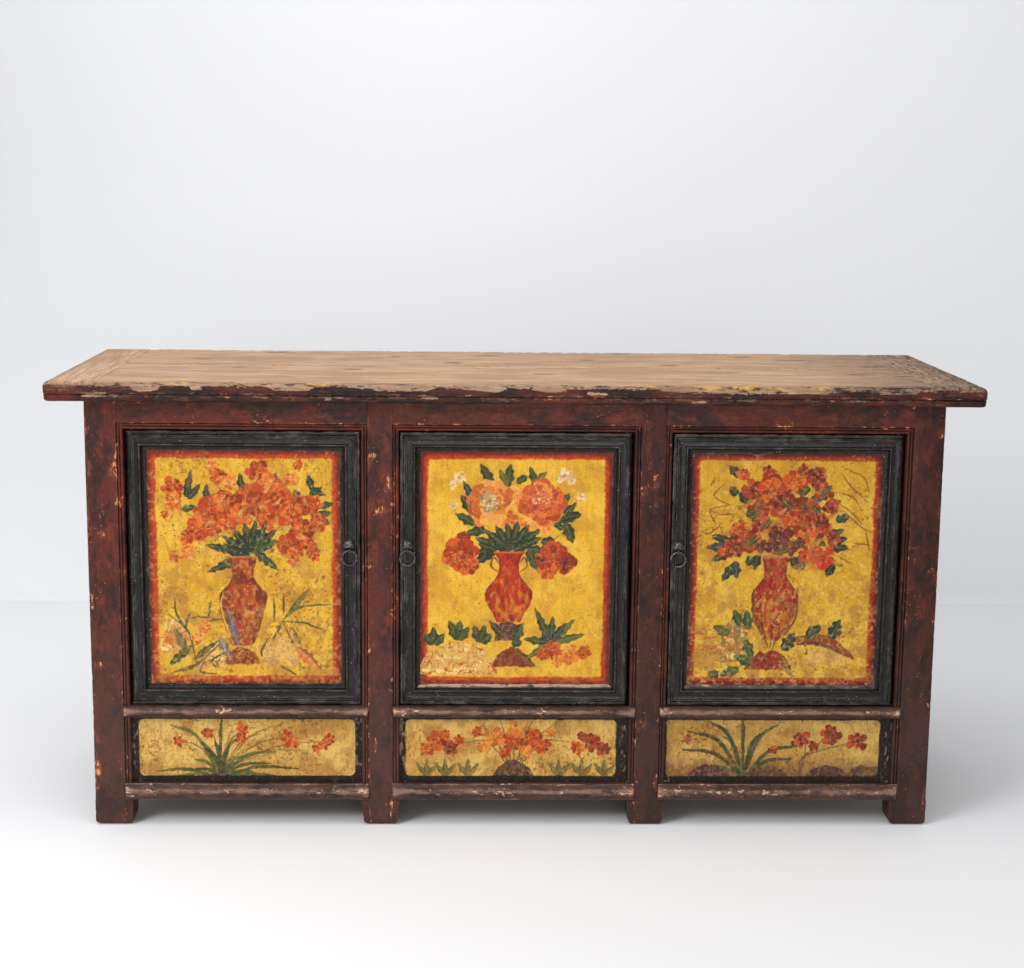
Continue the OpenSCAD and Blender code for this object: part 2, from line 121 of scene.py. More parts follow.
def noise(points, size, seed=0, octaves=1):
    """Value noise from 0 to 1 at points (..., 3); size is the size of its largest blotches."""
    total = np.zeros(points.shape[:-1])
    weight = 0
    for octave in range(octaves):
        p = points * (2**octave / size) + 17.3 * octave
        cell = np.floor(p).astype(np.int64)
        f = p - cell
        f = f * f * (3 - 2 * f)
        for di in (0, 1):
            for dj in (0, 1):
                for dk in (0, 1):
                    share = (
                        (f[..., 0] if di else 1 - f[..., 0])
                        * (f[..., 1] if dj else 1 - f[..., 1])
                        * (f[..., 2] if dk else 1 - f[..., 2])
                    )
                    value = lattice(cell[..., 0] + di, cell[..., 1] + dj, cell[..., 2] + dk, seed)
                    total += share * value / 2**octave
        weight += 1 / 2**octave
    return total / weight


def smooth(value, low, high):
    """0 below low and 1 above high, with a soft step between them."""
    t = np.clip((value - low) / (high - low), 0, 1)
    return t * t * (3 - 2 * t)


# ---- Meshes ----

# Turn, in radians, from which a corner of an outline counts as sharp
LEAST_TURN = 0.6
# The most of a side that a rounded corner takes up
MOST_OF_SIDE = 0.4
# How far an arris is rubbed, and how far painted shade spreads from an inner corner
ARRIS_REACH = 4 * MM
CORNER_SHADE_REACH = 2 * MM

def add_mesh(name, verts, faces, node, slot, material, attributes=(), grain=None, corner=35):
    """Makes a mesh object that stands for a CAD node and rides on its body."""
    mesh = bpy.data.meshes.new(name)
    mesh.from_pydata(verts.tolist(), [], faces)
    for key, values in dict(attributes).items():
        layer = mesh.attributes.new(key, "FLOAT", "POINT")
        layer.data.foreach_set("value", np.ascontiguousarray(values, np.float32).ravel())
    if grain is not None:
        layer = mesh.attributes.new("grain", "FLOAT_VECTOR", "POINT")
        layer.data.foreach_set("vector", np.ascontiguousarray(grain, np.float32).ravel())
    mesh.shade_smooth()
    mesh.set_sharp_from_angle(angle=math.radians(corner))
    mesh.materials.append(material)
    piece = bpy.data.objects.new(name, mesh)
    bpy.context.scene.collection.objects.link(piece)
    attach(piece, frame["nodes"][node]["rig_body"])
    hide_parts(node)
    return piece


def softened(outline, radius, spacing):
    """A closed outline with its sharp corners rounded and its long sides divided.

    Returns its points, how near each is to a standing arris, and how near each is to an inner corner, where
    shade is painted.
    """
    outline = np.array(outline, float)
    count = len(outline)
    after = np.roll(outline, -1, axis=0)
    area = np.sum(outline[:, 0] * after[:, 1] - after[:, 0] * outline[:, 1])
    points, standing, inner = [], [], []
    for i in range(count):
        here = outline[i]
        a, b = here - outline[i - 1], outline[(i + 1) % count] - here
        la, lb = np.linalg.norm(a), np.linalg.norm(b)
        a, b = a / la, b / lb
        turn = math.atan2(a[0] * b[1] - a[1] * b[0], a @ b)
        if abs(turn) < LEAST_TURN:
            points.append(here)
            continue
        half = abs(turn) / 2
        reach = min(radius * math.tan(half), MOST_OF_SIDE * la, MOST_OF_SIDE * lb)
        inward = (b - a) / np.linalg.norm(b - a)
        sink = reach / math.tan(half) * (1 / math.cos(half) - 1)
        points += [here - a * reach, here + inward * sink, here + b * reach]
        (standing if turn * area > 0 else inner).append(here)
    divided = []
    for i, here in enumerate(points):
        step = points[(i + 1) % len(points)] - here
        parts = max(1, math.ceil(np.linalg.norm(step) / spacing))
        divided += [here + step * k / parts for k in range(parts)]
    divided = np.array(divided)

    def nearness(corners, reach):
        if not corners:
            return np.zeros(len(divided))
        gaps = np.linalg.norm(divided[:, None] - np.array(corners)[None], axis=2)
        return np.exp(-gaps.min(1) / reach)

    return divided, nearness(standing, ARRIS_REACH), nearness(inner, CORNER_SHADE_REACH)


def stations(start, end, spacing, fine=1.5 * MM, fine_reach=14 * MM):
    """Places along a member, closer together near its ends."""
    near = np.arange(0, fine_reach, fine)
    middle = np.linspace(start + fine_reach, end - fine_reach, max(2, math.ceil((end - start) / spacing)))
    return np.concatenate([start + near, middle, (end - near)[::-1]])


def roughen(grid, normals, edge, wobble, chip):
    """Gives a surface the slight waves of hand planing, and knocks chips from its arrises."""
    waves = noise(grid, 120 * MM, 1) - 0.5 + 0.35 * (noise(grid, 14 * MM, 2) - 0.5)
    lost = smooth(noise(grid, 9 * MM, 3, 2), 0.56, 0.72) * edge
    return grid + normals * (wobble * waves - chip * lost)[..., None]


def surface_normals(grid, closed=True):
    """Unit normals of a grid of points, pointing away from the middle of each closed row."""
    along = np.gradient(grid, axis=0)
    across = np.roll(grid, -1, axis=1) - np.roll(grid, 1, axis=1) if closed else np.gradient(grid, axis=1)
    normals = np.cross(along, across)
    return normals / np.maximum(np.linalg.norm(normals, axis=2, keepdims=True), 1e-12)


def grid_faces(rows, columns, closed, flip):
    """Quads of a grid of points numbered row by row."""
    i, j = np.meshgrid(np.arange(rows - 1), np.arange(columns if closed else columns - 1), indexing="ij")
    k = (j + 1) % columns
    quads = np.stack([i * columns + j, i * columns + k, (i + 1) * columns + k, (i + 1) * columns + j], -1)
    quads = quads.reshape(-1, 4)
    return (quads[:, ::-1] if flip else quads).tolist()


AXES = {
    "upright": lambda w, a, b: np.stack([a, b, w], -1),
    "level": lambda w, a, b: np.stack([w, b, a], -1),
    "side": lambda w, a, b: np.stack([a, w, b], -1),
}


def member(name, node, slot, material, outline, start, end, run, spacing=6 * MM, radius=1.2 * MM,
           divide=7 * MM, trim=None, shape=None, worn=None, wobble=0.5 * MM, chip=0.9 * MM, extra=None):
    """A wooden member: a closed outline swept from start to end, with softened and worn arrises."""
    section, edge, corner_shade = softened(outline, radius, divide)
    a, b = section[:, 0], section[:, 1]
    along = stations(start, end, spacing)
    share = ((along - start) / (end - start))[:, None]
    cut0, cut1 = trim(a, b) if trim else (np.zeros(len(a)), np.zeros(len(a)))
    w = start + cut0 + (end - cut1 - start - cut0) * share
    a = np.broadcast_to(a, w.shape)
    b = np.broadcast_to(b, w.shape)
    edge = np.broadcast_to(edge, w.shape)
    corner_shade = np.broadcast_to(corner_shade, w.shape)
    grain = np.stack([w, a, b], -1) + np.array([sum(map(ord, name)) % 50 * 0.11, 0, 0])
    if worn:
        edge = np.maximum(edge, worn(w, a, b))
    if shape:
        w, a, b = shape(w, a, b)
    grid = AXES[run](w, a, b)
    middle = grid.mean(axis=1, keepdims=True)
    normals = surface_normals(grid)
    outward = np.sum(normals * (grid - middle)) > 0
    normals = normals if outward else -normals
    grid = roughen(grid, normals, edge, wobble, chip)
    rows, columns = w.shape
    faces = grid_faces(rows, columns, True, outward)
    first, last = list(range(columns)), list(range((rows - 1) * columns, rows * columns))
    faces += [first if outward else first[::-1], last[::-1] if outward else last]
    verts = grid.reshape(-1, 3)
    attributes = {"edge": edge.ravel(), "corner_shade": corner_shade.ravel()}
    grain = grain.reshape(-1, 3)
    if extra is not None:
        more_verts, more_faces = extra
        faces += [[k + len(verts) for k in face] for face in more_faces]
        verts = np.concatenate([verts, more_verts])
        grain = np.concatenate([grain, more_verts])
        attributes = {k: np.concatenate([v, np.zeros(len(more_verts))]) for k, v in attributes.items()}
    return add_mesh(name, verts, faces, node, slot, material, attributes, grain)


# ---- Materials ----


def linear(colour):
    """Linear RGB from 0-255 sRGB numbers."""
    c = np.asarray(colour, float) / 255
    return np.where(c <= 0.04045, c / 12.92, ((c + 0.055) / 1.055) ** 2.4)


class Finish:
    """A procedural material, built from sockets that are passed from node to node."""

    def __init__(self, name, roughness, specular=0.3, metallic=0.0):
        self.material = bpy.data.materials.new(name)
        self.material.use_nodes = True
        self.tree = self.material.node_tree
        self.shader = self.tree.nodes["Principled BSDF"]
        self.shader.inputs["Roughness"].default_value = roughness
        self.shader.inputs["Specular IOR Level"].default_value = specular
        self.shader.inputs["Metallic"].default_value = metallic

    def node(self, kind, inputs=(), **settings):
        """A shader node with its settings and inputs."""
        made = self.tree.nodes.new("ShaderNode" + kind)
        for key, value in settings.items():
            setattr(made, key, value)
        for key, value in dict(inputs).items():
            self.feed(made.inputs[key], value)
        return made

    def feed(self, socket, value):
        """Links a socket to another one, or sets it to a number or an sRGB colour."""
        if isinstance(value, bpy.types.NodeSocket):
            self.tree.links.new(value, socket)
        elif isinstance(value, tuple) and socket.type == "RGBA":
            socket.default_value = (*linear(value), 1)
        else:
            socket.default_value = value

    def attribute(self, name, output="Fac"):
        """A measure that the mesh carries."""
        return self.node("Attribute", attribute_name=name).outputs[output]

    def place(self, stretch=(1, 1, 1), grain=True):
        """Coordinates along, across and into the grain, or the object's own, squeezed by stretch."""
        source = self.attribute("grain", "Vector") if grain else self.node("TexCoord").outputs["Object"]
        squeeze = tuple(1 / s for s in stretch)
        return self.node("VectorMath", {0: source, 1: squeeze}, operation="MULTIPLY").outputs[0]

    def noise(self, size, stretch=(1, 1, 1), detail=3.0, roughness=0.55, grain=True, distortion=0.0):
        """Noise from 0 to 1; size is the size of its largest blotches, in metres."""
        inputs = {
            "Vector": self.place(stretch, grain),
            "Scale": 1 / size,
            "Detail": detail,
            "Roughness": roughness,
            "Distortion": distortion,
        }
        return self.node("TexNoise", inputs).outputs["Fac"]

    def cells(self, size, stretch=(1, 1, 1), feature="F1", grain=True):
        """Distance to the middle or the edge of scattered cells."""
        inputs = {"Vector": self.place(stretch, grain), "Scale": 1 / size}
        return self.node("TexVoronoi", inputs, feature=feature).outputs["Distance"]

    def step(self, value, low, high, to_low=0.0, to_high=1.0):
        """A soft step between low and high."""
        inputs = {0: value, 1: low, 2: high, 3: to_low, 4: to_high}
        return self.node("MapRange", inputs, interpolation_type="SMOOTHSTEP").outputs[0]

    def math(self, operation, a, b=0.0):
        return self.node("Math", {0: a, 1: b}, operation=operation).outputs[0]

    def times(self, a, b):
        return self.math("MULTIPLY", a, b)

    def plus(self, a, b):
        return self.math("ADD", a, b)

    def mix(self, factor, a, b, blend="MIX"):
        """Colour a, with colour b over it by the factor."""
        made = self.node("Mix", data_type="RGBA", blend_type=blend)
        self.feed(made.inputs[0], factor)
        self.feed(made.inputs[6], a)
        self.feed(made.inputs[7], b)
        return made.outputs[2]

    def over(self, colour, tone, value, low, high, strength=1.0):
        """The colour with a tone laid over it where value goes from low to high."""
        return self.mix(self.step(value, low, high, 0.0, strength), colour, tone)

    def height(self):
        """Height over the floor at rest, in metres."""
        return self.node("SeparateXYZ", {0: self.node("TexCoord").outputs["Object"]}).outputs[2]

    def finish(self, colour, height, depth, roughness=None):
        """Connects the colour, a bump whose full height is depth metres, and any roughness."""
        self.feed(self.shader.inputs["Base Color"], colour)
        bump = self.node("Bump", {"Height": height, "Distance": depth, "Strength": 1.0})
        self.feed(self.shader.inputs["Normal"], bump.outputs[0])
        if roughness is not None:
            self.feed(self.shader.inputs["Roughness"], roughness)
        return self.material


def lacquer(name, dark, mid, light, rust, chip, wear, low_tone=None, gloss=(0.36, 0.6), chipping=1.0,
            specular=0.3, bare=(176, 142, 120)):
    """Old lacquer on wood: blotchy, scuffed, rubbed on arrises, flaked down to rust-red and pale layers."""
    f = Finish(name, 0.45, specular)
    black = tuple(0.5 * c for c in dark)
    blotch = f.noise(55 * MM, (1.8, 1, 1), 6, 0.65)
    glow = f.noise(22 * MM, (1.7, 1, 1), 7, 0.7)
    mottle = f.noise(7 * MM, (1.6, 1, 1), 9, 0.78)
    streak = f.noise(2.4 * MM, (14, 1, 1), 5, 0.65)
    colour = f.over(dark, mid, blotch, 0.4, 0.58)
    colour = f.over(colour, tuple(0.5 * c + 0.5 * d for c, d in zip(rust, mid)), glow, 0.5, 0.66, 0.6)
    colour = f.over(colour, black, mottle, 0.47, 0.3, 0.9)
    colour = f.over(colour, light, mottle, 0.54, 0.74, 0.6)
    colour = f.over(colour, light, streak, 0.55, 0.72, 0.4)
    if low_tone:
        low = f.times(f.step(f.height(), 0.55, 0.12), f.step(blotch, 0.3, 0.6, 0.4, 1.0))
        colour = f.mix(f.times(low, 0.7), colour, low_tone)
        colour = f.over(colour, black, mottle, 0.47, 0.3, 0.6)
    edge = f.attribute("edge")
    rubbed = f.noise(13 * MM, (3.0, 1, 1), 8, 0.72)
    # Pale where edge is high: wear, and on the door frames' bead crests and the rails' upper noses also a
    # painted highlight.
    worn = f.step(f.plus(f.times(edge, wear), rubbed), 0.72, 0.96)
    colour = f.mix(worn, colour, light)
    flakes = f.noise(6.5 * MM, (1.9, 1, 1), 6, 0.68)
    sparse = f.noise(45 * MM, (1.4, 1, 1), 3, 0.55)
    loss = f.plus(f.times(edge, 0.17), f.times(f.plus(sparse, -0.5), 0.6))
    loss = f.plus(flakes, f.times(loss, chipping))
    colour = f.over(colour, rust, loss, 0.68, 0.74, 0.75)
    colour = f.over(colour, chip, loss, 0.74, 0.78, 0.9)
    flecks = f.step(f.cells(8 * MM, (1.4, 1, 1)), 0.11, 0.06)
    colour = f.mix(f.times(flecks, f.step(sparse, 0.5, 0.58)), colour, chip)
    stripped = f.step(f.plus(edge, f.times(rubbed, 1.3)), 1.84, 1.94)
    colour = f.mix(stripped, colour, bare)
    # Painted shade: darker in the inner corners of each outline.
    colour = f.mix(f.times(f.attribute("corner_shade"), 0.6), colour, black)
    height = f.plus(f.times(mottle, 0.6), f.times(f.step(loss, 0.7, 0.76), -0.5))
    return f.finish(colour, height, 0.6 * MM, f.step(rubbed, 0.3, 0.7, *gloss))


def bare_top():
    """Dry, scrubbed boards with dark knots and stains; the moulded edge keeps its red-brown paint."""
    f = Finish("bare_top", 0.7, 0.2)
    fibre = f.noise(5 * MM, (22, 1, 1), 8, 0.72, distortion=0.4)
    board = f.noise(90 * MM, (3.5, 1, 1), 6, 0.65)
    scuff = f.noise(13 * MM, (3, 1, 1), 8, 0.74)
    wood = f.mix(f.step(fibre, 0.38, 0.64), (162, 126, 96), (210, 178, 146))
    wood = f.over(wood, (112, 84, 66), fibre, 0.42, 0.3, 0.75)
    wood = f.over(wood, (160, 124, 96), board, 0.42, 0.66, 0.7)
    wood = f.over(wood, (198, 148, 100), board, 0.42, 0.26, 0.4)
    wood = f.over(wood, (120, 94, 78), scuff, 0.57, 0.72, 0.65)
    # Darker towards the edges and the right end, where this measure is high.
    darkening = f.attribute("darkening")
    wood = f.mix(f.times(darkening, f.step(scuff, 0.3, 0.6, 0.3, 0.85)), wood, (112, 86, 72))
    wood = f.mix(f.attribute("gold"), wood, (214, 164, 74))
    knot = f.attribute("knot")
    core = f.times(knot, f.step(f.noise(5 * MM, (2.5, 1, 1), 5, 0.7), 0.36, 0.56))
    wood = f.mix(f.times(knot, 0.4), wood, (128, 106, 94))
    wood = f.mix(f.times(core, 0.7), wood, (78, 62, 56))
    grime = f.step(f.plus(f.noise(7 * MM, (4, 1, 1), 6, 0.7), f.times(darkening, 0.2)), 0.67, 0.74)
    wood = f.mix(grime, wood, (64, 50, 46))
    wander = f.noise(16 * MM, (2.2, 1, 1), 6, 0.65)
    red = f.mix(f.step(f.noise(45 * MM, (2.5, 1, 1), 5, 0.6), 0.4, 0.6), (34, 21, 19), (80, 32, 23))
    streak = f.noise(3.4 * MM, (9, 1, 1), 6, 0.7)
    red = f.over(red, (112, 62, 46), streak, 0.52, 0.7, 0.7)
    red = f.over(red, (24, 16, 14), streak, 0.46, 0.3, 0.7)
    flakes = f.noise(7 * MM, (3, 1, 1), 6, 0.72)
    bead = f.attribute("edge")
    rubbed = f.step(f.plus(f.times(bead, 0.17), scuff), 0.62, 0.74, 0.0, 0.85)
    red = f.mix(rubbed, red, f.mix(f.step(streak, 0.4, 0.6), (68, 46, 38), (138, 96, 74)))
    loss = f.plus(flakes, f.times(bead, 0.1))
    red = f.over(red, (140, 66, 36), loss, 0.64, 0.7, 0.7)
    tan = f.mix(f.step(streak, 0.4, 0.6), (172, 112, 66), (208, 168, 124))
    red = f.over(red, tan, loss, 0.7, 0.74)
    torn = f.noise(3.5 * MM, (2.5, 1, 1), 4, 0.7)
    covered = f.plus(f.attribute("paint"), f.times(f.plus(wander, -0.5), 1.3))
    covered = f.plus(covered, f.times(f.plus(torn, -0.5), 1.1))
    rim = f.times(f.step(covered, 0.38, 0.47), f.step(covered, 0.58, 0.5))
    covered = f.step(covered, 0.47, 0.53)
    colour = f.mix(covered, wood, red)
    colour = f.mix(f.times(rim, f.step(flakes, 0.44, 0.58)), colour, (48, 34, 30))
    # Painted shade in the inner corners of the moulded edge.
    colour = f.mix(f.times(f.attribute("corner_shade"), 0.8), colour, (28, 19, 17))
    height = f.plus(f.times(fibre, 0.7), f.times(covered, 0.5))
    return f.finish(colour, height, 0.9 * MM, f.step(covered, 0.0, 1.0, 0.75, 0.42))


def painted(name, gloss, crack, fade):
    """Painted panel: colours laid down by the painter, under a crazed and dirty varnish."""
    f = Finish(name, gloss, 0.2)
    colour = f.attribute("colour", "Color")
    fine = f.noise(2.6 * MM, (1, 1, 1.6), 5, 0.75, grain=False)
    colour = f.mix(f.step(fine, 0.5, 0.26, 0.0, 0.7), colour, (150, 104, 58), "MULTIPLY")
    colour = f.over(colour, (232, 196, 120), fine, 0.56, 0.74, fade)
    craze = f.step(f.cells(7 * MM, feature="DISTANCE_TO_EDGE", grain=False), 0.05, 0.0)
    patchy = f.step(f.noise(30 * MM, grain=False), 0.42, 0.62)
    craze = f.times(craze, f.times(patchy, crack))
    colour = f.mix(craze, colour, (96, 62, 30))
    height = f.math("SUBTRACT", fine, craze)
    return f.finish(colour, height, 0.3 * MM, f.step(fine, 0.3, 0.7, gloss, gloss + 0.2))


def plain_wood():
    """Unpainted inside boards."""
    f = Finish("plain_wood", 0.75, 0.2)
    fibre = f.noise(5 * MM, (26, 1, 1), 7, 0.7, grain=False)
    broad = f.noise(90 * MM, (4, 1, 1), 6, 0.65, grain=False)
    colour = f.mix(f.step(fibre, 0.36, 0.64), (94, 68, 48), (142, 110, 80))
    colour = f.over(colour, (78, 57, 42), broad, 0.42, 0.62, 0.7)
    return f.finish(colour, fibre, 0.5 * MM)


def iron():
    """Hammered, blackened iron with a rubbed sheen."""
    f = Finish("iron", 0.4, 0.5, metallic=0.7)
    hammered = f.noise(5 * MM, detail=2, grain=False)
    colour = f.mix(f.step(hammered, 0.35, 0.65), (52, 49, 47), (112, 108, 107))
    rust = f.step(f.noise(3 * MM, detail=4, grain=False), 0.62, 0.72, 0.0, 0.5)
    colour = f.mix(rust, colour, (74, 52, 42))
    return f.finish(colour, hammered, 0.5 * MM, f.step(hammered, 0.3, 0.7, 0.28, 0.48))


RED = lacquer(
    "red_lacquer", (48, 23, 18), (86, 33, 22), (122, 70, 50), (160, 72, 32), (206, 152, 104),
    wear=0.34, low_tone=(71, 52, 45), specular=0.25,
)
DEEP_RED = lacquer(
    "red_lacquer_deep", (38, 20, 17), (70, 28, 20), (104, 62, 48), (142, 62, 30), (200, 144, 98),
    wear=0.34, low_tone=(62, 46, 41), chipping=0.85, specular=0.22,
)
RAIL = lacquer(
    "rail_lacquer", (42, 27, 23), (70, 45, 36), (132, 101, 86), (124, 80, 56), (204, 170, 142),
    wear=0.43, chipping=0.9,
)
# Its pale tone, laid along the door frames' bead crests, is a painted highlight as well as wear.
BLACK = lacquer(
    "black_lacquer", (13, 11, 10), (21, 17, 15), (92, 82, 75), (58, 46, 39), (168, 158, 148),
    wear=0.34, gloss=(0.14, 0.3), chipping=0.4,
)
TOP = bare_top()
DOOR_PAINT = painted("door_paint", gloss=0.38, crack=0.35, fade=0.25)
LOWER_PAINT = painted("lower_paint", gloss=0.45, crack=0.6, fade=0.3)
WOOD = plain_wood()
IRON = iron()

# ---- Top ----


# Places on the top's front edge where the paint has come off: x, height over the underside and
# half sizes, in mm
TOP_CHIPS = (
    (-706, 29, 22, 11), (-790, 12, 34, 4), (-610, 27, 12, 4), (-430, 29, 50, 3.5), (-225, 29, 60, 3.5),
    (-170, 11, 16, 4), (-60, 29, 40, 3.5), (60, 29, 30, 4), (150, 22, 18, 4), (332, 29, 60, 3.5),
    (440, 26, 90, 4.5), (560, 27, 60, 4.5), (655, 10, 26, 3), (720, 29, 50, 4), (345, 8, 22, 3),
    (-350, 9, 30, 3),
)
# Dark knots and bruises on the boards: x, y and half sizes, in mm
TOP_KNOTS = (
    (-509, 268, 30, 16), (-123, 78, 22, 12), (245, 284, 22, 12), (504, 239, 26, 14), (698, -91, 30, 9),
    (-660, 120, 18, 8), (330, 60, 22, 10), (60, -120, 24, 8), (-330, -60, 20, 9), (610, 180, 46, 12),
    (-60, 220, 30, 8), (-560, -40, 16, 8), (420, -70, 30, 7), (160, 150, 16, 10), (760, 60, 26, 10),
    (-250, 190, 14, 8),
)
# Places on the boards where old varnish shows yellow: x, y and half sizes, in mm
TOP_GOLD = (
    (440, -298, 130, 9), (560, -296, 80, 8), (250, -296, 70, 7), (-380, -297, 40, 6), (-640, -297, 24, 6),
)
# How ragged marks are, and where the paint stops on the moulded edge and below it
RAGGED = 1.6
PAINT_TOP = 25 * MM
PAINT_FADE = 11 * MM
UNDERSIDE_PAINT = 0.6
BOARD_FACE = 30 * MM
# How uneven the boards are, and how deep their arrises are chipped
TOP_WOBBLE = 1.0 * MM
TOP_CHIP = 2.6 * MM


def marks(across, up, places, ragged):
    """How much each point is inside one of the marks at the given places."""
    most = np.zeros_like(across)
    for x, z, half_x, half_z in places:
        reach = ((across - x * MM) / (half_x * MM)) ** 2 + ((up - z * MM) / (half_z * MM)) ** 2
        most = np.maximum(most, smooth(reach + RAGGED * (ragged - 0.5), 1.5, 0.4))
    return most


def top_marks(grid):
    """Paint, darkening and knots of the top, from where its points are."""
    depth = np.minimum(grid[..., 1] - TOP_LO.y, TOP_HI.x - np.abs(grid[..., 0]))
    height = grid[..., 2] - TOP_Z
    ragged = noise(grid, 14 * MM, 5, 3)
    paint = 1 - np.clip((height - PAINT_TOP) / PAINT_FADE, 0, 1)
    paint = np.where((height < 1 * MM) & (depth > 30 * MM), UNDERSIDE_PAINT, paint)
    paint -= marks(grid[..., 0], height, TOP_CHIPS, ragged) * (grid[..., 1] < TOP_LO.y + 20 * MM)
    # Darker and greyer near the front and side edges and towards the right end of the top.
    darkening = 0.7 * np.exp(-np.maximum(depth - 4 * MM, 0) / (16 * MM)) + 0.75 * smooth(grid[..., 0], 0.5, 0.88)
    boards = height > BOARD_FACE
    knot = marks(grid[..., 0], grid[..., 1], TOP_KNOTS, ragged) * boards
    gold = marks(grid[..., 0], grid[..., 1], TOP_GOLD, ragged) * boards * smooth(ragged, 0.4, 0.62) * 0.8
    layers = {"paint": paint, "darkening": np.clip(darkening, 0, 1), "knot": knot, "gold": gold}
    return {key: values.ravel() for key, values in layers.items()}


def add_layers(piece, layers):
    """Adds measures, one number per vertex, to a piece."""
    for key, values in layers.items():
        layer = piece.data.attributes.new(key, "FLOAT", "POINT")
        layer.data.foreach_set("value", values.astype(np.float32))


def make_plank(node, y0, y1):
    """A plank of the top; the front one has the moulded edge."""
    outline = [(TOP_Z, y1), (TOP_Z, y0), (TOP_HI.z, y0), (TOP_HI.z, y1)]
    if y0 < TOP_LO.y + 1 * MM:
        edge = [(TOP_Z + z * MM, y0 + d * MM) for d, z in TOP_EDGE]
        outline = [(TOP_Z, y1)] + edge + [(TOP_HI.z, y1)]
    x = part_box("top_end_right")[0].x

    def worn(w, a, b):
        """The upper arris and the crest of the bead below it."""
        near_front = np.exp(-np.maximum(b - y0 - 4 * MM, 0) / (6 * MM)) * (y0 < 0)
        bead = np.exp(-np.abs(a - TOP_Z - 9 * MM) / (3 * MM))
        return near_front * np.maximum(smooth(a, TOP_Z + 24 * MM, TOP_Z + 33 * MM), bead)

    piece = member("board_" + node, node, "bare_top", TOP, outline, -x, x, "level", spacing=3.5 * MM,
                   radius=1 * MM, divide=8 * MM, worn=worn, wobble=TOP_WOBBLE, chip=TOP_CHIP)
    add_layers(piece, top_marks(np.array([v.co for v in piece.data.vertices])))
    return piece


def make_end_board(node, side):
    """An end board; its moulded edge turns the front corner on a small radius."""
    thickness = TOP_HI.z - TOP_Z
    corner = 14 * MM
    x_in, x_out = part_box("top_end_right")[0].x, TOP_HI.x
    rows = [(99.5 * MM, 0), (60 * MM, 0), (30 * MM, 0)] + [(d * MM, z * MM) for d, z in TOP_EDGE]
    rows += [(d * MM, thickness) for d in (16, 24, 36, 50, 65, 80, 99.5)]
    back = np.arange(TOP_HI.y, TOP_LO.y + corner, -5 * MM)
    turn = np.radians(np.linspace(0, 90, 10))
    front = np.linspace(x_out - corner, x_in, 20)[1:]
    grid = []
    for depth, height in rows:
        r = max(corner - depth, 0)
        cx, cy = x_out - max(corner, depth), TOP_LO.y + max(corner, depth)
        line = [(x_out - depth, min(TOP_HI.y, max(y, cy))) for y in back]
        line += [(cx + r * math.cos(a), cy - r * math.sin(a)) for a in turn]
        line += [(min(x, cx), TOP_LO.y + depth) for x in front]
        grid.append([(x, y, TOP_Z + height) for x, y in line])
    grid = np.array(grid)
    depth = np.broadcast_to(np.array([d for d, _ in rows])[:, None], grid.shape[:2])
    edge = np.exp(-np.abs(depth - 2 * MM) / (5 * MM)) * (grid[..., 2] > TOP_Z + 14 * MM)
    edge = np.maximum(edge, 0.6 * np.exp(-depth / (2 * MM)) * (grid[..., 2] < TOP_Z + 10 * MM))
    normals = surface_normals(grid, closed=False)
    if np.sum(normals * (grid - grid.mean((0, 1)))) < 0:
        normals = -normals
    grid = roughen(grid, normals, edge, TOP_WOBBLE, TOP_CHIP)
    grid[..., 0] = np.maximum(grid[..., 0], x_in)
    grid[:, 0, 1] = TOP_HI.y
    count, columns = grid.shape[:2]
    grid = grid * np.array([side, 1, 1])
    verts = grid.reshape(-1, 3)
    faces = grid_faces(count, columns, False, side > 0)
    faces += [[i * columns + last for i in range(count)] for last in (0, columns - 1)]
    attributes = {"edge": edge.ravel(), "corner_shade": np.zeros(count * columns), **top_marks(grid)}
    in_front = (verts[:, 1] - TOP_LO.y < TOP_HI.x - np.abs(verts[:, 0])) & (verts[:, 2] < TOP_HI.z - 4 * MM)
    grain = np.where(in_front[:, None], verts, verts[:, [1, 0, 2]] + np.array([side * 3.1, 0, 0]))
    return add_mesh("board_" + node, verts, faces, node, "bare_top", TOP, attributes, grain)


make_plank("top_plank_front", TOP_LO.y, SEAM_Y)
make_plank("top_plank_back", SEAM_Y + 0.4 * MM, TOP_HI.y)
make_end_board("top_end_left", -1)
make_end_board("top_end_right", 1)

# ---- Posts ----

# Places on the front posts where the lacquer has flaked: across from the post's middle, height and
# half sizes, in mm
POST_CHIPS = {
    "left": ((-33, 728, 12, 30), (-36, 640, 5, 40), (16, 716, 9, 18), (-36, 810, 5, 20), (-28, 186, 10, 28),
             (-30, 110, 8, 46), (24, 610, 6, 20), (-8, 590, 12, 10), (-20, 330, 6, 12)),
    "mid_left": ((-18, 742, 9, 20), (-31, 712, 5, 34), (20, 744, 5, 16), (14, 700, 6, 26), (-8, 690, 5, 20),
                 (-28, 560, 6, 60), (2, 640, 16, 12), (-10, 160, 8, 20), (-30, 430, 5, 60), (28, 120, 6, 30)),
    "mid_right": ((-6, 735, 8, 12), (6, 700, 6, 26), (-12, 680, 6, 26), (4, 655, 12, 10), (24, 760, 5, 14),
                  (26, 600, 5, 40), (-28, 520, 5, 40), (-6, 210, 8, 16), (20, 90, 6, 24)),
    "right": ((30, 700, 8, 14), (33, 640, 6, 50), (26, 800, 8, 16), (-16, 740, 6, 20), (-10, 290, 6, 14),
              (30, 420, 6, 40), (-24, 250, 8, 16), (4, 150, 6, 16), (32, 60, 6, 30)),
}
FOOT_R = 11 * MM
FOOT_FLARE = 2 * MM
FOOT_TAPER = 4 * MM
OUTER_TAPER = 1 * MM


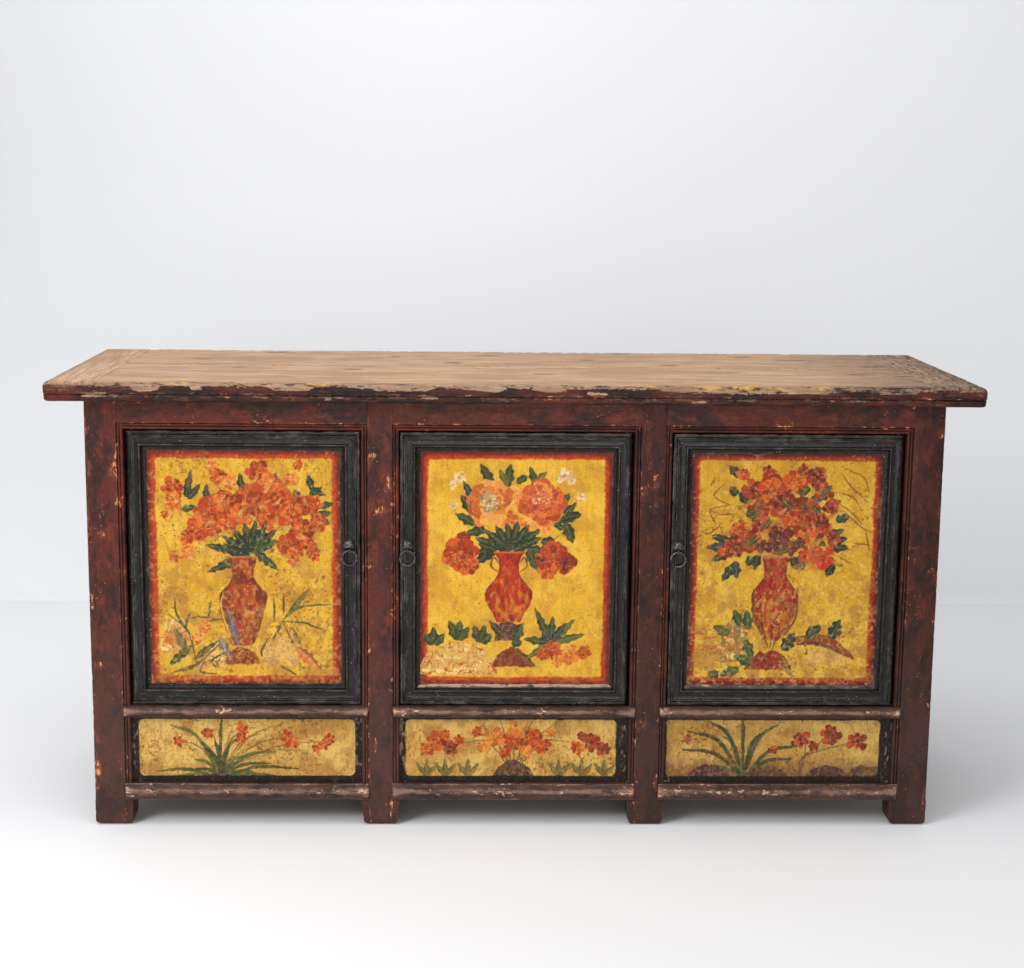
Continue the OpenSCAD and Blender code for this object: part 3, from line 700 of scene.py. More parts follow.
def make_post(node, place, row):
    """A post with its foot; front posts carry a beaded margin on each side that has an opening."""
    half = POST_W / 2
    centre = place * PITCH
    inner_left, inner_right = place > -1, place < 1
    if row == "front":
        y0 = FRONT_Y
        left = [(d * MM - half, b * MM) for d, b in MARGIN[::-1]]
        right = [(half - d * MM, b * MM) for d, b in MARGIN]
        if not inner_left:
            left = [(x * MM - half, b * MM) for x, b in arc((6, 6), 6, 180, 270, 5)]
        if not inner_right:
            right = [(half + x * MM, b * MM) for x, b in arc((-6, 6), 6, 270, 360, 5)]
        outline = [(-half, POST_D)] + left + right + [(half, POST_D)]
    else:
        y0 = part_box("post_back_left")[0].y
        c = 3 * MM
        outline = [(-half, c), (c - half, 0), (half - c, 0), (half, c),
                   (half, POST_D - c), (half - c, POST_D), (c - half, POST_D), (-half, POST_D - c)]
    taper = FOOT_TAPER if inner_left and inner_right else OUTER_TAPER

    def shape(w, a, b):
        """Rounds the foot and flares it up to the post."""
        foot = w < FOOT_H
        rise = np.clip(w / FOOT_H, 0, 1)
        rounding = FOOT_R - np.sqrt(np.maximum(FOOT_R**2 - np.maximum(FOOT_R - w, 0) ** 2, 0))
        grown_left = (FOOT_FLARE + taper) * rise - taper if inner_left else 0 * rise
        grown_right = (FOOT_FLARE + taper) * rise - taper if inner_right else 0 * rise
        reach = np.where(a < 0, half + grown_left, half + grown_right) - rounding
        foot_a = a / half * reach
        moulded = (np.abs(a) < half - 0.1 * MM) & (b < POST_D / 2)
        foot_b = rounding + np.where(moulded, 0, b) / POST_D * (POST_D - 2 * rounding)
        a = np.where(foot, foot_a, a) + centre
        b = np.where(foot, foot_b, b) + y0
        return w, a, b

    def worn(w, a, b):
        """Flaked places, the outer arrises, and the crests of the margins."""
        proud = smooth(b, 3 * MM, 1 * MM)
        ragged = noise(np.stack([a, b, w], -1) + centre, 12 * MM, 6, 3)
        flaked = 0.9 * marks(a, w, POST_CHIPS[node.removeprefix("post_front_")], ragged) * proud
        outer = np.zeros_like(a)
        if not inner_left:
            outer = np.exp(-(a + half) / (3 * MM))
        if not inner_right:
            outer = np.exp(-(half - a) / (3 * MM))
        crest = smooth(np.abs(a), half - 13 * MM, half - 10 * MM) * proud
        return np.maximum(flaked, np.maximum(0.85 * outer, 0.4 * crest) * (b < 12 * MM))

    material = DEEP_RED if node.endswith("right") else RED
    return member("made_" + node, node, "red_lacquer", material, outline, 0.0, TOP_Z, "upright", shape=shape,
                  worn=worn if row == "front" else None)


for number, side in enumerate(("left", "mid_left", "mid_right", "right")):
    for row in ("front", "back"):
        make_post(f"post_{row}_{side}", number - 1.5, row)

# ---- Rails ----


def make_top_rail(bay, centre):
    """The beaded rail under the top, mitred into the margins of the posts."""
    depth = 40 * MM
    outline = [(TOP_Z, FRONT_Y + depth), (TOP_Z, FRONT_Y)]
    outline += [(OPEN_TOP + d * MM, FRONT_Y + b * MM) for d, b in MARGIN]
    outline += [(OPEN_TOP, FRONT_Y + depth)]

    def mitre(a, b):
        cut = np.clip(MARGIN_W - (a - OPEN_TOP), 0, MARGIN_W)
        return cut, cut

    name = "rail_top_" + bay
    member("made_" + name, name, "red_lacquer", RED, outline, centre - LAP_W / 2, centre + LAP_W / 2, "level",
           trim=mitre, wobble=0.2 * MM)


def make_nosed_rail(name, centre, z0, z1, depth):
    """A rail with a rounded front, worn pale along its most proud part and at its ends; the pale is stronger
    on the upper half of the nose, partly as a painted highlight.
    """
    height = (z1 - z0) / MM
    nose = 9
    radius = (height**2 / 4 + nose**2) / (2 * nose)
    swing = math.degrees(math.asin(height / 2 / radius))
    front = arc((radius - nose, height / 2), radius, 180 + swing, 180 - swing, 14)
    outline = [(z0 + z * MM, FRONT_Y + y * MM) for y, z in front]
    outline += [(z1, FRONT_Y + depth), (z0, FRONT_Y + depth)]
    x0, x1 = centre - LAP_W / 2, centre + LAP_W / 2

    def end_gap(w):
        return np.minimum(w - x0, x1 - w)

    def shape(w, a, b):
        inside = np.clip(NOSE - end_gap(w), 0, NOSE)
        limit = FRONT_Y - np.sqrt(np.maximum(NOSE**2 - inside**2, 0))
        return w, a, np.maximum(b, limit)

    def worn(w, a, b):
        # Pale along the proud nose and at the ends as wear; the upper half gets more, partly as a painted
        # highlight.
        proud = np.clip((FRONT_Y - b) / NOSE, 0, 1)
        upper = smooth((a - z0) / (z1 - z0), 0.15, 0.75)
        ends = np.exp(-end_gap(w) / (14 * MM))
        return proud**2 * (0.35 + 0.65 * upper) + 0.5 * ends * (proud > 0)

    member("made_" + name, name, "red_lacquer", RAIL, outline, x0, x1, "level", shape=shape, worn=worn,
           spacing=4 * MM, divide=3 * MM, wobble=1.1 * MM, chip=0.8 * MM)


for number, bay in enumerate(BAYS):
    centre = (number - 1) * PITCH
    make_top_rail(bay, centre)
    mid_lo, mid_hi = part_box("rail_mid_" + bay)
    make_nosed_rail("rail_mid_" + bay, centre, mid_lo.z, mid_hi.z, 44 * MM)
    low_lo, low_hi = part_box("rail_bottom_" + bay)
    make_nosed_rail("rail_bottom_" + bay, centre, low_lo.z, low_hi.z, 40 * MM)

# ---- Doors ----

# How far the lacquer is gone from the inner ledge of each door's bottom rail
LEDGE_WEAR = {"left": 0.5, "centre": 1.3, "right": 1.15}
# The look that the members of a door frame share
DOOR_LOOK = {"radius": 0.6 * MM, "divide": 3 * MM, "wobble": 0.7 * MM, "chip": 0.5 * MM}


def make_door_frame(bay, hinge):
    """Four mitred members; the hinge stile has its pivot pins, and its front corner is rounded."""
    lo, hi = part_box(f"door_{bay}_hinge_stile")
    lock_lo, lock_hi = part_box(f"door_{bay}_lock_stile")
    x0, x1 = min(lo.x, lock_lo.x), max(hi.x, lock_hi.x)
    z0, z1 = lock_lo.z, lock_hi.z
    face_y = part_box(f"door_{bay}_rail_top")[0].y
    hinge_x = x0 if hinge < 0 else x1

    def clear_pivot(across, b):
        """Keeps the hinge edge inside the circle that it turns in."""
        gap = np.abs(across - hinge_x)
        inside = np.clip(PIVOT_IN - gap, 0, PIVOT_IN)
        limit = face_y + PIVOT_IN - np.sqrt(np.maximum(PIVOT_IN**2 - inside**2, 0))
        return np.where(gap < PIVOT_IN, np.maximum(b, limit), b)

    def mitre(distance):
        cut = np.clip(distance, 0, MEMBER_W)
        return cut, cut

    def rubbed(b, distance, ledge):
        """The crests of the two beads, pale as wear and as a painted highlight, and on a bottom rail its worn
        inner ledge too.
        """
        # The crest value makes the black lacquer lay its pale tone along the beads: a painted highlight on
        # the crests, as well as wear.
        crest = smooth(b - face_y, 0.7 * MM, 0.05 * MM)
        inner = smooth(distance, 30 * MM, 34 * MM) * (b < face_y + 12 * MM)
        return np.maximum(crest * 0.9, ledge * inner)

    for part in ("hinge_stile", "lock_stile"):
        on_left = (part == "hinge_stile") == (hinge < 0)
        edge_x, inward = (x0, 1) if on_left else (x1, -1)
        profile = [(edge_x + inward * d * MM, face_y + b * MM) for d, b in DOOR_PROFILE]
        if part == "hinge_stile":
            start = [(edge_x + inward * d * MM, face_y + b * MM) for d, b in arc((12, 12), 12, 180, 262, 8)]
            profile = [profile[0]] + start + [p for p in profile if abs(p[0] - edge_x) > 11 * MM]
            pins = pin_mesh(edge_x + inward * PIVOT_IN, face_y + PIVOT_IN, z0, z1)
        else:
            pins = None
        member(f"made_{bay}_{part}", f"door_{bay}_{part}", "black_lacquer", BLACK, profile, z0, z1, "upright",
               trim=lambda a, b: mitre(np.abs(a - edge_x)),
               worn=lambda w, a, b: rubbed(b, np.abs(a - edge_x), 0.1), extra=pins, **DOOR_LOOK)
    for part, edge_z, inward, ledge in (("rail_bottom", z0, 1, LEDGE_WEAR[bay]), ("rail_top", z1, -1, 0.2)):
        profile = [(edge_z + inward * d * MM, face_y + b * MM) for d, b in DOOR_PROFILE]
        member(f"made_{bay}_{part}", f"door_{bay}_{part}", "black_lacquer", BLACK, profile, x0, x1, "level",
               trim=lambda a, b: mitre(np.abs(a - edge_z)),
               worn=lambda w, a, b: rubbed(b, np.abs(a - edge_z), ledge),
               shape=lambda w, a, b: (w, a, clear_pivot(w, b)), **DOOR_LOOK)


def tube_mesh(path, radius, sides=16, closed=False):
    """Vertices and faces of a round bar along a path; radius may differ from point to point."""
    path = np.array(path, float)
    count = len(path)
    radius = np.broadcast_to(radius, (count,))
    ahead = np.roll(path, -1, 0) - np.roll(path, 1, 0) if closed else np.gradient(path, axis=0)
    ahead /= np.linalg.norm(ahead, axis=1, keepdims=True)
    spread = path.max(0) - path.min(0)
    side_axis = np.eye(3)[int(np.argmin(spread))]
    across = np.cross(ahead, side_axis)
    across /= np.maximum(np.linalg.norm(across, axis=1, keepdims=True), 1e-9)
    other = np.cross(ahead, across)
    turns = np.linspace(0, 2 * math.pi, sides, endpoint=False)
    ring = np.cos(turns)[None, :, None] * across[:, None] + np.sin(turns)[None, :, None] * other[:, None]
    verts = (path[:, None] + ring * radius[:, None, None]).reshape(-1, 3)
    faces = grid_faces(count, sides, True, False)
    if closed:
        last = (count - 1) * sides
        faces += [[last + j, last + (j + 1) % sides, (j + 1) % sides, j] for j in range(sides)]
    else:
        faces += [list(range(sides))[::-1], list(range((count - 1) * sides, count * sides))]
    return verts, faces


def joined(parts):
    """One list of vertices and faces out of several."""
    verts, faces, base = [], [], 0
    for part_verts, part_faces in parts:
        verts.append(part_verts)
        faces += [[k + base for k in face] for face in part_faces]
        base += len(part_verts)
    return np.concatenate(verts), faces


def pin_mesh(x, y, z0, z1):
    """The two wooden pivot pins of a door."""
    length, radius = 14 * MM, 6 * MM
    heights = np.array([-1 * MM, 0, length - 1.5 * MM, length - 0.4 * MM, length])
    radii = np.array([radius, radius, radius, radius - 0.6 * MM, radius - 1.5 * MM])
    upper = tube_mesh([(x, y, z1 + h) for h in heights], radii, 24)
    lower = tube_mesh([(x, y, z0 - h) for h in heights], radii, 24)
    return joined([upper, lower])


for number, bay in enumerate(BAYS):
    make_door_frame(bay, -1 if number == 0 else 1)

# ---- Painted panels ----


def pairs(*numbers):
    """Numbers taken two by two."""
    return np.reshape(numbers, (-1, 2))


def smooth_curve(points, count=40):
    """A smooth line through the given points."""
    points = np.array(points, float)
    padded = np.vstack([2 * points[0] - points[1], points, 2 * points[-1] - points[-2]])
    where = np.linspace(0, len(points) - 1.0001, count)
    k = where.astype(int)
    t = (where - k)[:, None]
    p0, p1, p2, p3 = (padded[k + i] for i in range(4))
    return 0.5 * (
        2 * p1 + (p2 - p0) * t + (2 * p0 - 5 * p1 + 4 * p2 - p3) * t**2 + (3 * p1 - p0 - 3 * p2 + p3) * t**3
    )


# Colours of the grime and flakes that age a painting
GRIME = (128, 82, 34)
CRACK = (128, 84, 38)
SPECK = (88, 56, 32)
STAIN = (150, 100, 48)
RUBBED = (226, 190, 116)
LEAF_SHADE = (20, 28, 26)
LEAF_VEIN = (146, 140, 70)
# How far the painter's edges wander, in mm
WANDER = 2.6


class Canvas:
    """A panel being painted. Brushes take places in hundredths of its field, and sizes in mm."""

    # A blossom's rings of petals, as shares of its radius, for blossoms of more than so many mm
    RINGS = ((30, (1.0, 0.82, 0.62, 0.42)), (13, (1.0, 0.74, 0.46)), (0, (1.0, 0.6)))

    def __init__(self, width, height, pitch, seed):
        self.size = np.array([width, height])
        self.pitch = pitch
        self.seed = seed
        columns, rows = round(width / pitch) + 1, round(height / pitch) + 1
        self.u, self.v = np.meshgrid(np.linspace(0, width, columns), np.linspace(0, height, rows))
        self.flat = np.stack([self.u, self.v, np.full_like(self.u, 100.0 * seed)], -1)
        self.x = self.u + WANDER * (noise(self.flat, 9, 1, 2) - 0.5)
        self.z = self.v + WANDER * (noise(self.flat, 9, 2, 2) - 0.5)
        self.thin = smooth(noise(self.flat, 4, 3, 3), 0.42, 0.7) * smooth(noise(self.flat, 30, 4), 0.2, 0.8)
        self.dice = np.random.default_rng(seed)
        self.colour = np.zeros((rows, columns, 3))
        self.window = (slice(0, rows), slice(0, columns))

    def whole(self):
        """Makes the next brushes cover the whole canvas."""
        self.window = (slice(None), slice(None))

    def at(self, place):
        """A place in hundredths of the field, turned into mm."""
        return np.array(place, float) / 100 * self.size

    def look(self, places, reach):
        """Limits the next brush to the part of the canvas within reach of the places; returns it."""
        places = np.atleast_2d(places)
        lo = np.floor((places.min(0) - reach) / self.pitch).astype(int)
        hi = np.ceil((places.max(0) + reach) / self.pitch).astype(int) + 1
        lo = np.maximum(lo, 0)
        self.window = (slice(lo[1], max(hi[1], lo[1] + 1)), slice(lo[0], max(hi[0], lo[0] + 1)))
        return self.x[self.window], self.z[self.window]

    def lay(self, cover, colour, dry=0.35):
        """Lays a colour where cover says; a dry brush leaves it thin in places."""
        cover = (cover * (1 - dry * self.thin[self.window]))[..., None]
        part = self.colour[self.window]
        part += (np.array(colour, float) - part) * cover

    def blade(self, base, tip, width, fullness=0.8):
        """A pointed shape from base to tip, in mm.

        Returns its cover, how far along and across it each point is, its half width and its length.
        """
        length = np.linalg.norm(tip - base)
        axis = (tip - base) / length
        x, z = self.look([base, tip], width)
        t = ((x - base[0]) * axis[0] + (z - base[1]) * axis[1]) / length
        s = (z - base[1]) * axis[0] - (x - base[0]) * axis[1]
        half = width / 2 * np.sin(math.pi * np.clip(t, 0, 1) ** fullness) ** 0.8
        half = half * (1 + 0.14 * np.sin(t * length / 2.4))
        return smooth(half - np.abs(s), 0, 1.1) * (t > 0) * (t < 1), t, s, half, length

    def leaf(self, base, tip, width, colour, vein=LEAF_VEIN):
        """A pointed leaf with a rib, side veins, a shaded half and a pale rim."""
        cover, t, s, half, length = self.blade(self.at(base), self.at(tip), width)
        self.lay(cover, colour, 0.25)
        ribs = np.exp(-((s / 0.8) ** 2)) + 0.7 * (np.sin((t * length - 1.3 * np.abs(s)) * 1.1) > 0.72)
        self.lay(cover * np.clip(ribs, 0, 1) * 0.6, vein)
        self.lay(cover * smooth(s / np.maximum(half, 0.1), 0.2, 0.9) * 0.5, LEAF_SHADE)
        self.lay(cover * np.exp(-(((half - np.abs(s) - 0.4) / 0.7) ** 2)) * 0.5, vein)

    def leaves(self, rows, width, colour):
        """Leaves, one for each row of base and tip."""
        for row in rows:
            self.leaf(row[:2], row[2:], width, colour)

    def spray(self, centre, tips, width, colour, **more):
        """Leaves from one place to several tips."""
        for tip in pairs(*tips):
            self.leaf(centre, tip, width, colour, **more)

    def blossom(self, centre, radius, tones, petals=7):
        """Overlapping petals in rings, each with a pale rim; tones are dark, mid, light and heart."""
        dark, mid, light, heart = (np.array(tone, float) for tone in tones)
        centre = self.at(centre)
        turn = self.dice.random() * 6.3
        rings = next(shares for least, shares in self.RINGS if radius > least)
        for ring, share in enumerate(rings):
            count = max(3, petals - ring)
            for k in range(count):
                angle = turn + ring * 0.5 + 2 * math.pi * (k + 0.3 * self.dice.random()) / count
                axis = np.array([math.cos(angle), math.sin(angle)])
                reach = radius * share * (0.8 + 0.45 * self.dice.random())
                cover, t, s, half, _ = self.blade(
                    centre + axis * 0.08 * radius, centre + axis * reach, reach * (0.74 + 0.1 * ring), 1.4)
                swing = self.dice.random() * 1.5 - 0.5
                fill = mid + (dark - mid) * max(swing, 0) + (light - mid) * max(-swing, 0)
                self.lay(cover, fill, 0.2)
                self.lay(cover * smooth(t, 0.6, 0.15) * 0.75, dark, 0.1)
                self.lay(cover * (np.sin(s * 2.6) > 0.5) * (t > 0.35) * 0.25, light, 0.6)
                self.lay(cover * np.exp(-(((half - np.abs(s) - 0.8) / 0.7) ** 2)) * 0.6, light, 0.7)
        x, z = self.look([centre], radius)
        self.lay(smooth(np.hypot(x - centre[0], z - centre[1]), radius * 0.2, radius * 0.08), heart)
        for k in range(min(6, int(radius / 4))):
            angle = 6.3 * self.dice.random()
            way = 100 * np.array([math.cos(angle), math.sin(angle)]) / self.size
            middle = 100 * centre / self.size
            end = middle + way * radius * (0.5 + 0.5 * self.dice.random())
            start = middle + way * radius * 0.2
            self.stroke((*start, *end), 1.5, light, 0.7)

    def blossoms(self, flowers, tones, petals):
        """Blossoms, one for each place and radius."""
        for x, z, radius in flowers:
            self.blossom((x, z), radius, tones, petals)

    def wash(self, flowers, grow, colour):
        """Thin colour under a mass of flowers."""
        for x0, z0, radius in flowers:
            centre = self.at((x0, z0))
            x, z = self.look([centre], radius * grow + 6)
            flat = self.flat[self.window]
            reach = np.hypot(x - centre[0], z - centre[1]) + 14 * (noise(flat, 10, 81, 2) - 0.5)
            self.lay(smooth(reach, radius * grow, radius * grow - 3) * 0.85, colour, 0.5)

    def stroke(self, points, width, colour, strength=0.85):
        """A brush line through the points, thin at its ends."""
        line = smooth_curve(self.at(pairs(*points)))
        x, z = self.look(line, width + 2)
        best = np.full(x.shape, 1e9)
        for i in range(len(line) - 1):
            a, b = line[i], line[i + 1]
            step = b - a
            t = np.clip(((x - a[0]) * step[0] + (z - a[1]) * step[1]) / max(step @ step, 1e-6), 0, 1)
            share = (i + t) / len(line)
            half = width / 2 * (0.35 + 0.65 * np.sin(math.pi * np.clip(share, 0.05, 0.95)))
            gap = np.hypot(x - a[0] - step[0] * t, z - a[1] - step[1] * t) - half
            best = np.minimum(best, gap)
        self.lay(smooth(-best, -0.6, 0.6) * strength, colour)

    def strokes(self, lines, width, colour, strength=0.85):
        """Brush lines of one width and colour."""
        for points in lines:
            self.stroke(points, width, colour, strength)

    def vase(self, middle, outline, tones, fade):
        """A vase; outline is its heights and half widths from the foot up, and fade is how worn it is."""
        dark, mid, light = tones
        cx = middle / 100 * self.size[0]
        curve = smooth_curve(pairs(*outline) * (self.size[1] / 100, 1), 60)
        low, high = curve[0, 0], curve[-1, 0]
        widest = max(outline[1::2])
        x, z = self.look([(cx - widest, low), (cx + widest, high)], 4)
        half = np.interp(z, curve[:, 0], curve[:, 1])
        side = (x - cx) / np.maximum(half, 1)
        cover = smooth(half - np.abs(x - cx), 0, 1.2)
        cover = cover * smooth(z, low - 1, low + 1) * smooth(z, high + 1, high - 1)
        flat = self.flat[self.window]
        down = (high - z) / (high - low)
        worn = smooth(noise(flat * (1.0, 0.5, 1.0), 7, 11, 4) + 0.5 * fade * down, 0.6, 0.74)
        worn = worn * min(1.0, 1.4 * fade)
        cover = cover * (1 - worn * smooth(down, 0.1, 0.5))
        self.lay(cover, mid, 0.15)
        self.lay(cover * smooth(np.abs(side), 0.5, 1.0) * 0.6, dark, 0.1)
        self.lay(cover * smooth(noise(flat * (1.0, 0.4, 1.0), 7, 12, 4), 0.46, 0.66) * 0.7, dark, 0.1)
        self.lay(cover * smooth(noise(flat * (1.0, 0.4, 1.0), 5, 13, 3), 0.62, 0.8) * 0.5, light, 0.1)
        self.lay(cover * np.exp(-(((np.abs(side) - 0.94) / 0.05) ** 2)) * 0.6, dark, 0)
        self.lay(cover * smooth(z, high - 4, high - 2) * 0.8, light)

    def mound(self, centre, width, height, colour, mark, curls=False):
        """A low hill or rock with a broken lower edge; curls draws wandering lines on it."""
        cx, cz = self.at(centre)
        x, z = self.look([(cx, cz)], max(width, height) * 1.1)
        flat = self.flat[self.window]
        rise = height * np.sqrt(np.maximum(1 - ((x - cx) / (width / 2)) ** 2, 0))
        rise = rise * (0.8 + 0.4 * noise(flat, 12, 21, 2))
        under = cz + 5 * (noise(flat, 8, 22, 2) - 0.5)
        cover = smooth(rise - (z - cz), 0, 1.5) * smooth(z, under - 1, under + 1)
        self.lay(cover, colour, 0.5)
        if curls:
            self.lay(cover * smooth(noise(flat, 9, 25, 2), 0.56, 0.66) * 0.8, (240, 208, 132))
            self.lay(cover * smooth(np.abs(noise(flat, 10, 23, 2) - 0.5), 0.06, 0.03), mark, 0.1)
        else:
            self.lay(cover * smooth(noise(flat, 5, 24, 3), 0.5, 0.7) * 0.8, mark)

    def ground(self, base, light, dark, grime):
        """The yellow ground: mottled, streaked by the brush and grimy in small specks."""
        self.whole()
        self.colour[:] = base
        self.lay(smooth(noise(self.flat, 60, 31, 4), 0.42, 0.62), light, 0)
        self.lay(smooth(noise(self.flat, 36, 32, 5), 0.5, 0.68) * 0.7, dark, 0)
        streaks = noise(self.flat * (1.0, 0.22, 1.0), 4, 35, 3)
        self.lay(smooth(streaks, 0.55, 0.75) * 0.35, dark, 0)
        self.lay(smooth(streaks, 0.42, 0.25) * 0.35, light, 0)
        where = smooth(noise(self.flat, 50, 34, 3) - 0.2 * self.v / self.size[1], 0.3, 0.6)
        self.lay(smooth(noise(self.flat, 4.5, 33, 3), 0.54, 0.72) * where * 0.6 * grime, GRIME, 0)

    def border(self, width, inner, outer):
        """The red band round a door panel, darker at the frame and brushed thin at its inner edge."""
        self.whole()
        gap_x = np.minimum(self.u, self.size[0] - self.u)
        gap_z = np.minimum(self.v, self.size[1] - self.v)
        round_off = width + 5
        gap = round_off - np.hypot(np.maximum(round_off - gap_x, 0), np.maximum(round_off - gap_z, 0))
        edge = width + 6 * (noise(self.flat, 40, 41, 4) - 0.5) + 3 * (noise(self.flat, 4, 43, 2) - 0.5)
        cover = smooth(edge - gap, -1.6, 3.2)
        self.lay(cover, inner, 0.25)
        depth = gap + 6 * (noise(self.flat, 24, 44, 3) - 0.5)
        self.lay(smooth(depth, width * 0.75, width * 0.12) * 0.92, outer, 0)
        self.lay(cover * smooth(noise(self.flat, 3.5, 42, 3), 0.5, 0.7) * 0.5, outer, 0)
        broken = smooth(self.v, 26, 8) * smooth(noise(self.flat * (0.4, 1.0, 1.0), 5, 45, 4), 0.45, 0.7)
        self.lay(broken * cover * 0.45, (206, 112, 46), 0)

    def age(self, cracks, wear):
        """Fine cracks, dark specks and rubbed pale patches, mostly low down."""
        self.whole()
        low = 1 - self.v / self.size[1]
        line = smooth(np.abs(noise(self.flat, 22, 51, 4) - 0.5), 0.012, 0.003)
        self.lay(line * smooth(noise(self.flat, 40, 52), 0.45, 0.65) * cracks * 0.6, CRACK, 0)
        specks = noise(self.flat, 3.5, 53, 2) + 0.1 * (noise(self.flat, 60, 57, 2) - 0.5)
        self.lay(smooth(specks, 0.76, 0.86) * 0.75, SPECK, 0)
        rubbed = smooth(noise(self.flat, 6, 54, 4) + 0.12 * low, 0.64, 0.74)
        self.lay(rubbed * wear * 0.25, RUBBED, 0)
        stains = smooth(noise(self.flat, 22, 55, 5) + 0.14 * low, 0.6, 0.78)
        self.lay(stains * wear * 0.26, STAIN, 0)


# Grounds as base, light and dark, and petals as dark, mid, light and heart
YELLOW = ((217, 165, 42), (228, 180, 56), (196, 138, 38))
OCHRE = ((194, 148, 70), (214, 174, 92), (160, 112, 50))
REDS = ((112, 28, 14), (182, 50, 16), (228, 150, 62), (196, 100, 36))
DEEP_REDS = ((76, 22, 18), (146, 34, 18), (208, 124, 70), (60, 28, 26))
PINKS = ((170, 58, 22), (212, 108, 34), (238, 188, 92), (200, 150, 60))
PALE = ((190, 140, 84), (226, 190, 120), (240, 222, 176), (150, 110, 120))
GREEN = (36, 56, 34)
DARK_GREEN = (24, 38, 30)
BLUE = (36, 46, 60)
OLIVE = (84, 88, 42)
BROWN = (104, 48, 28)
PURPLE = (72, 42, 46)
SAND = (210, 164, 86)


def toned(tones, share):
    """The tones made a little darker."""
    return [tuple(share * v for v in tone) for tone in tones]


def flower_mass(c, flowers, tones, under):
    """Many blossoms over a thin wash of their own dark colour."""
    c.wash(flowers, 0.95, under)
    for number, (x, z, radius) in enumerate(flowers):
        c.blossom((x, z), 1.12 * radius, tones[number % len(tones)], 6 + number % 3)


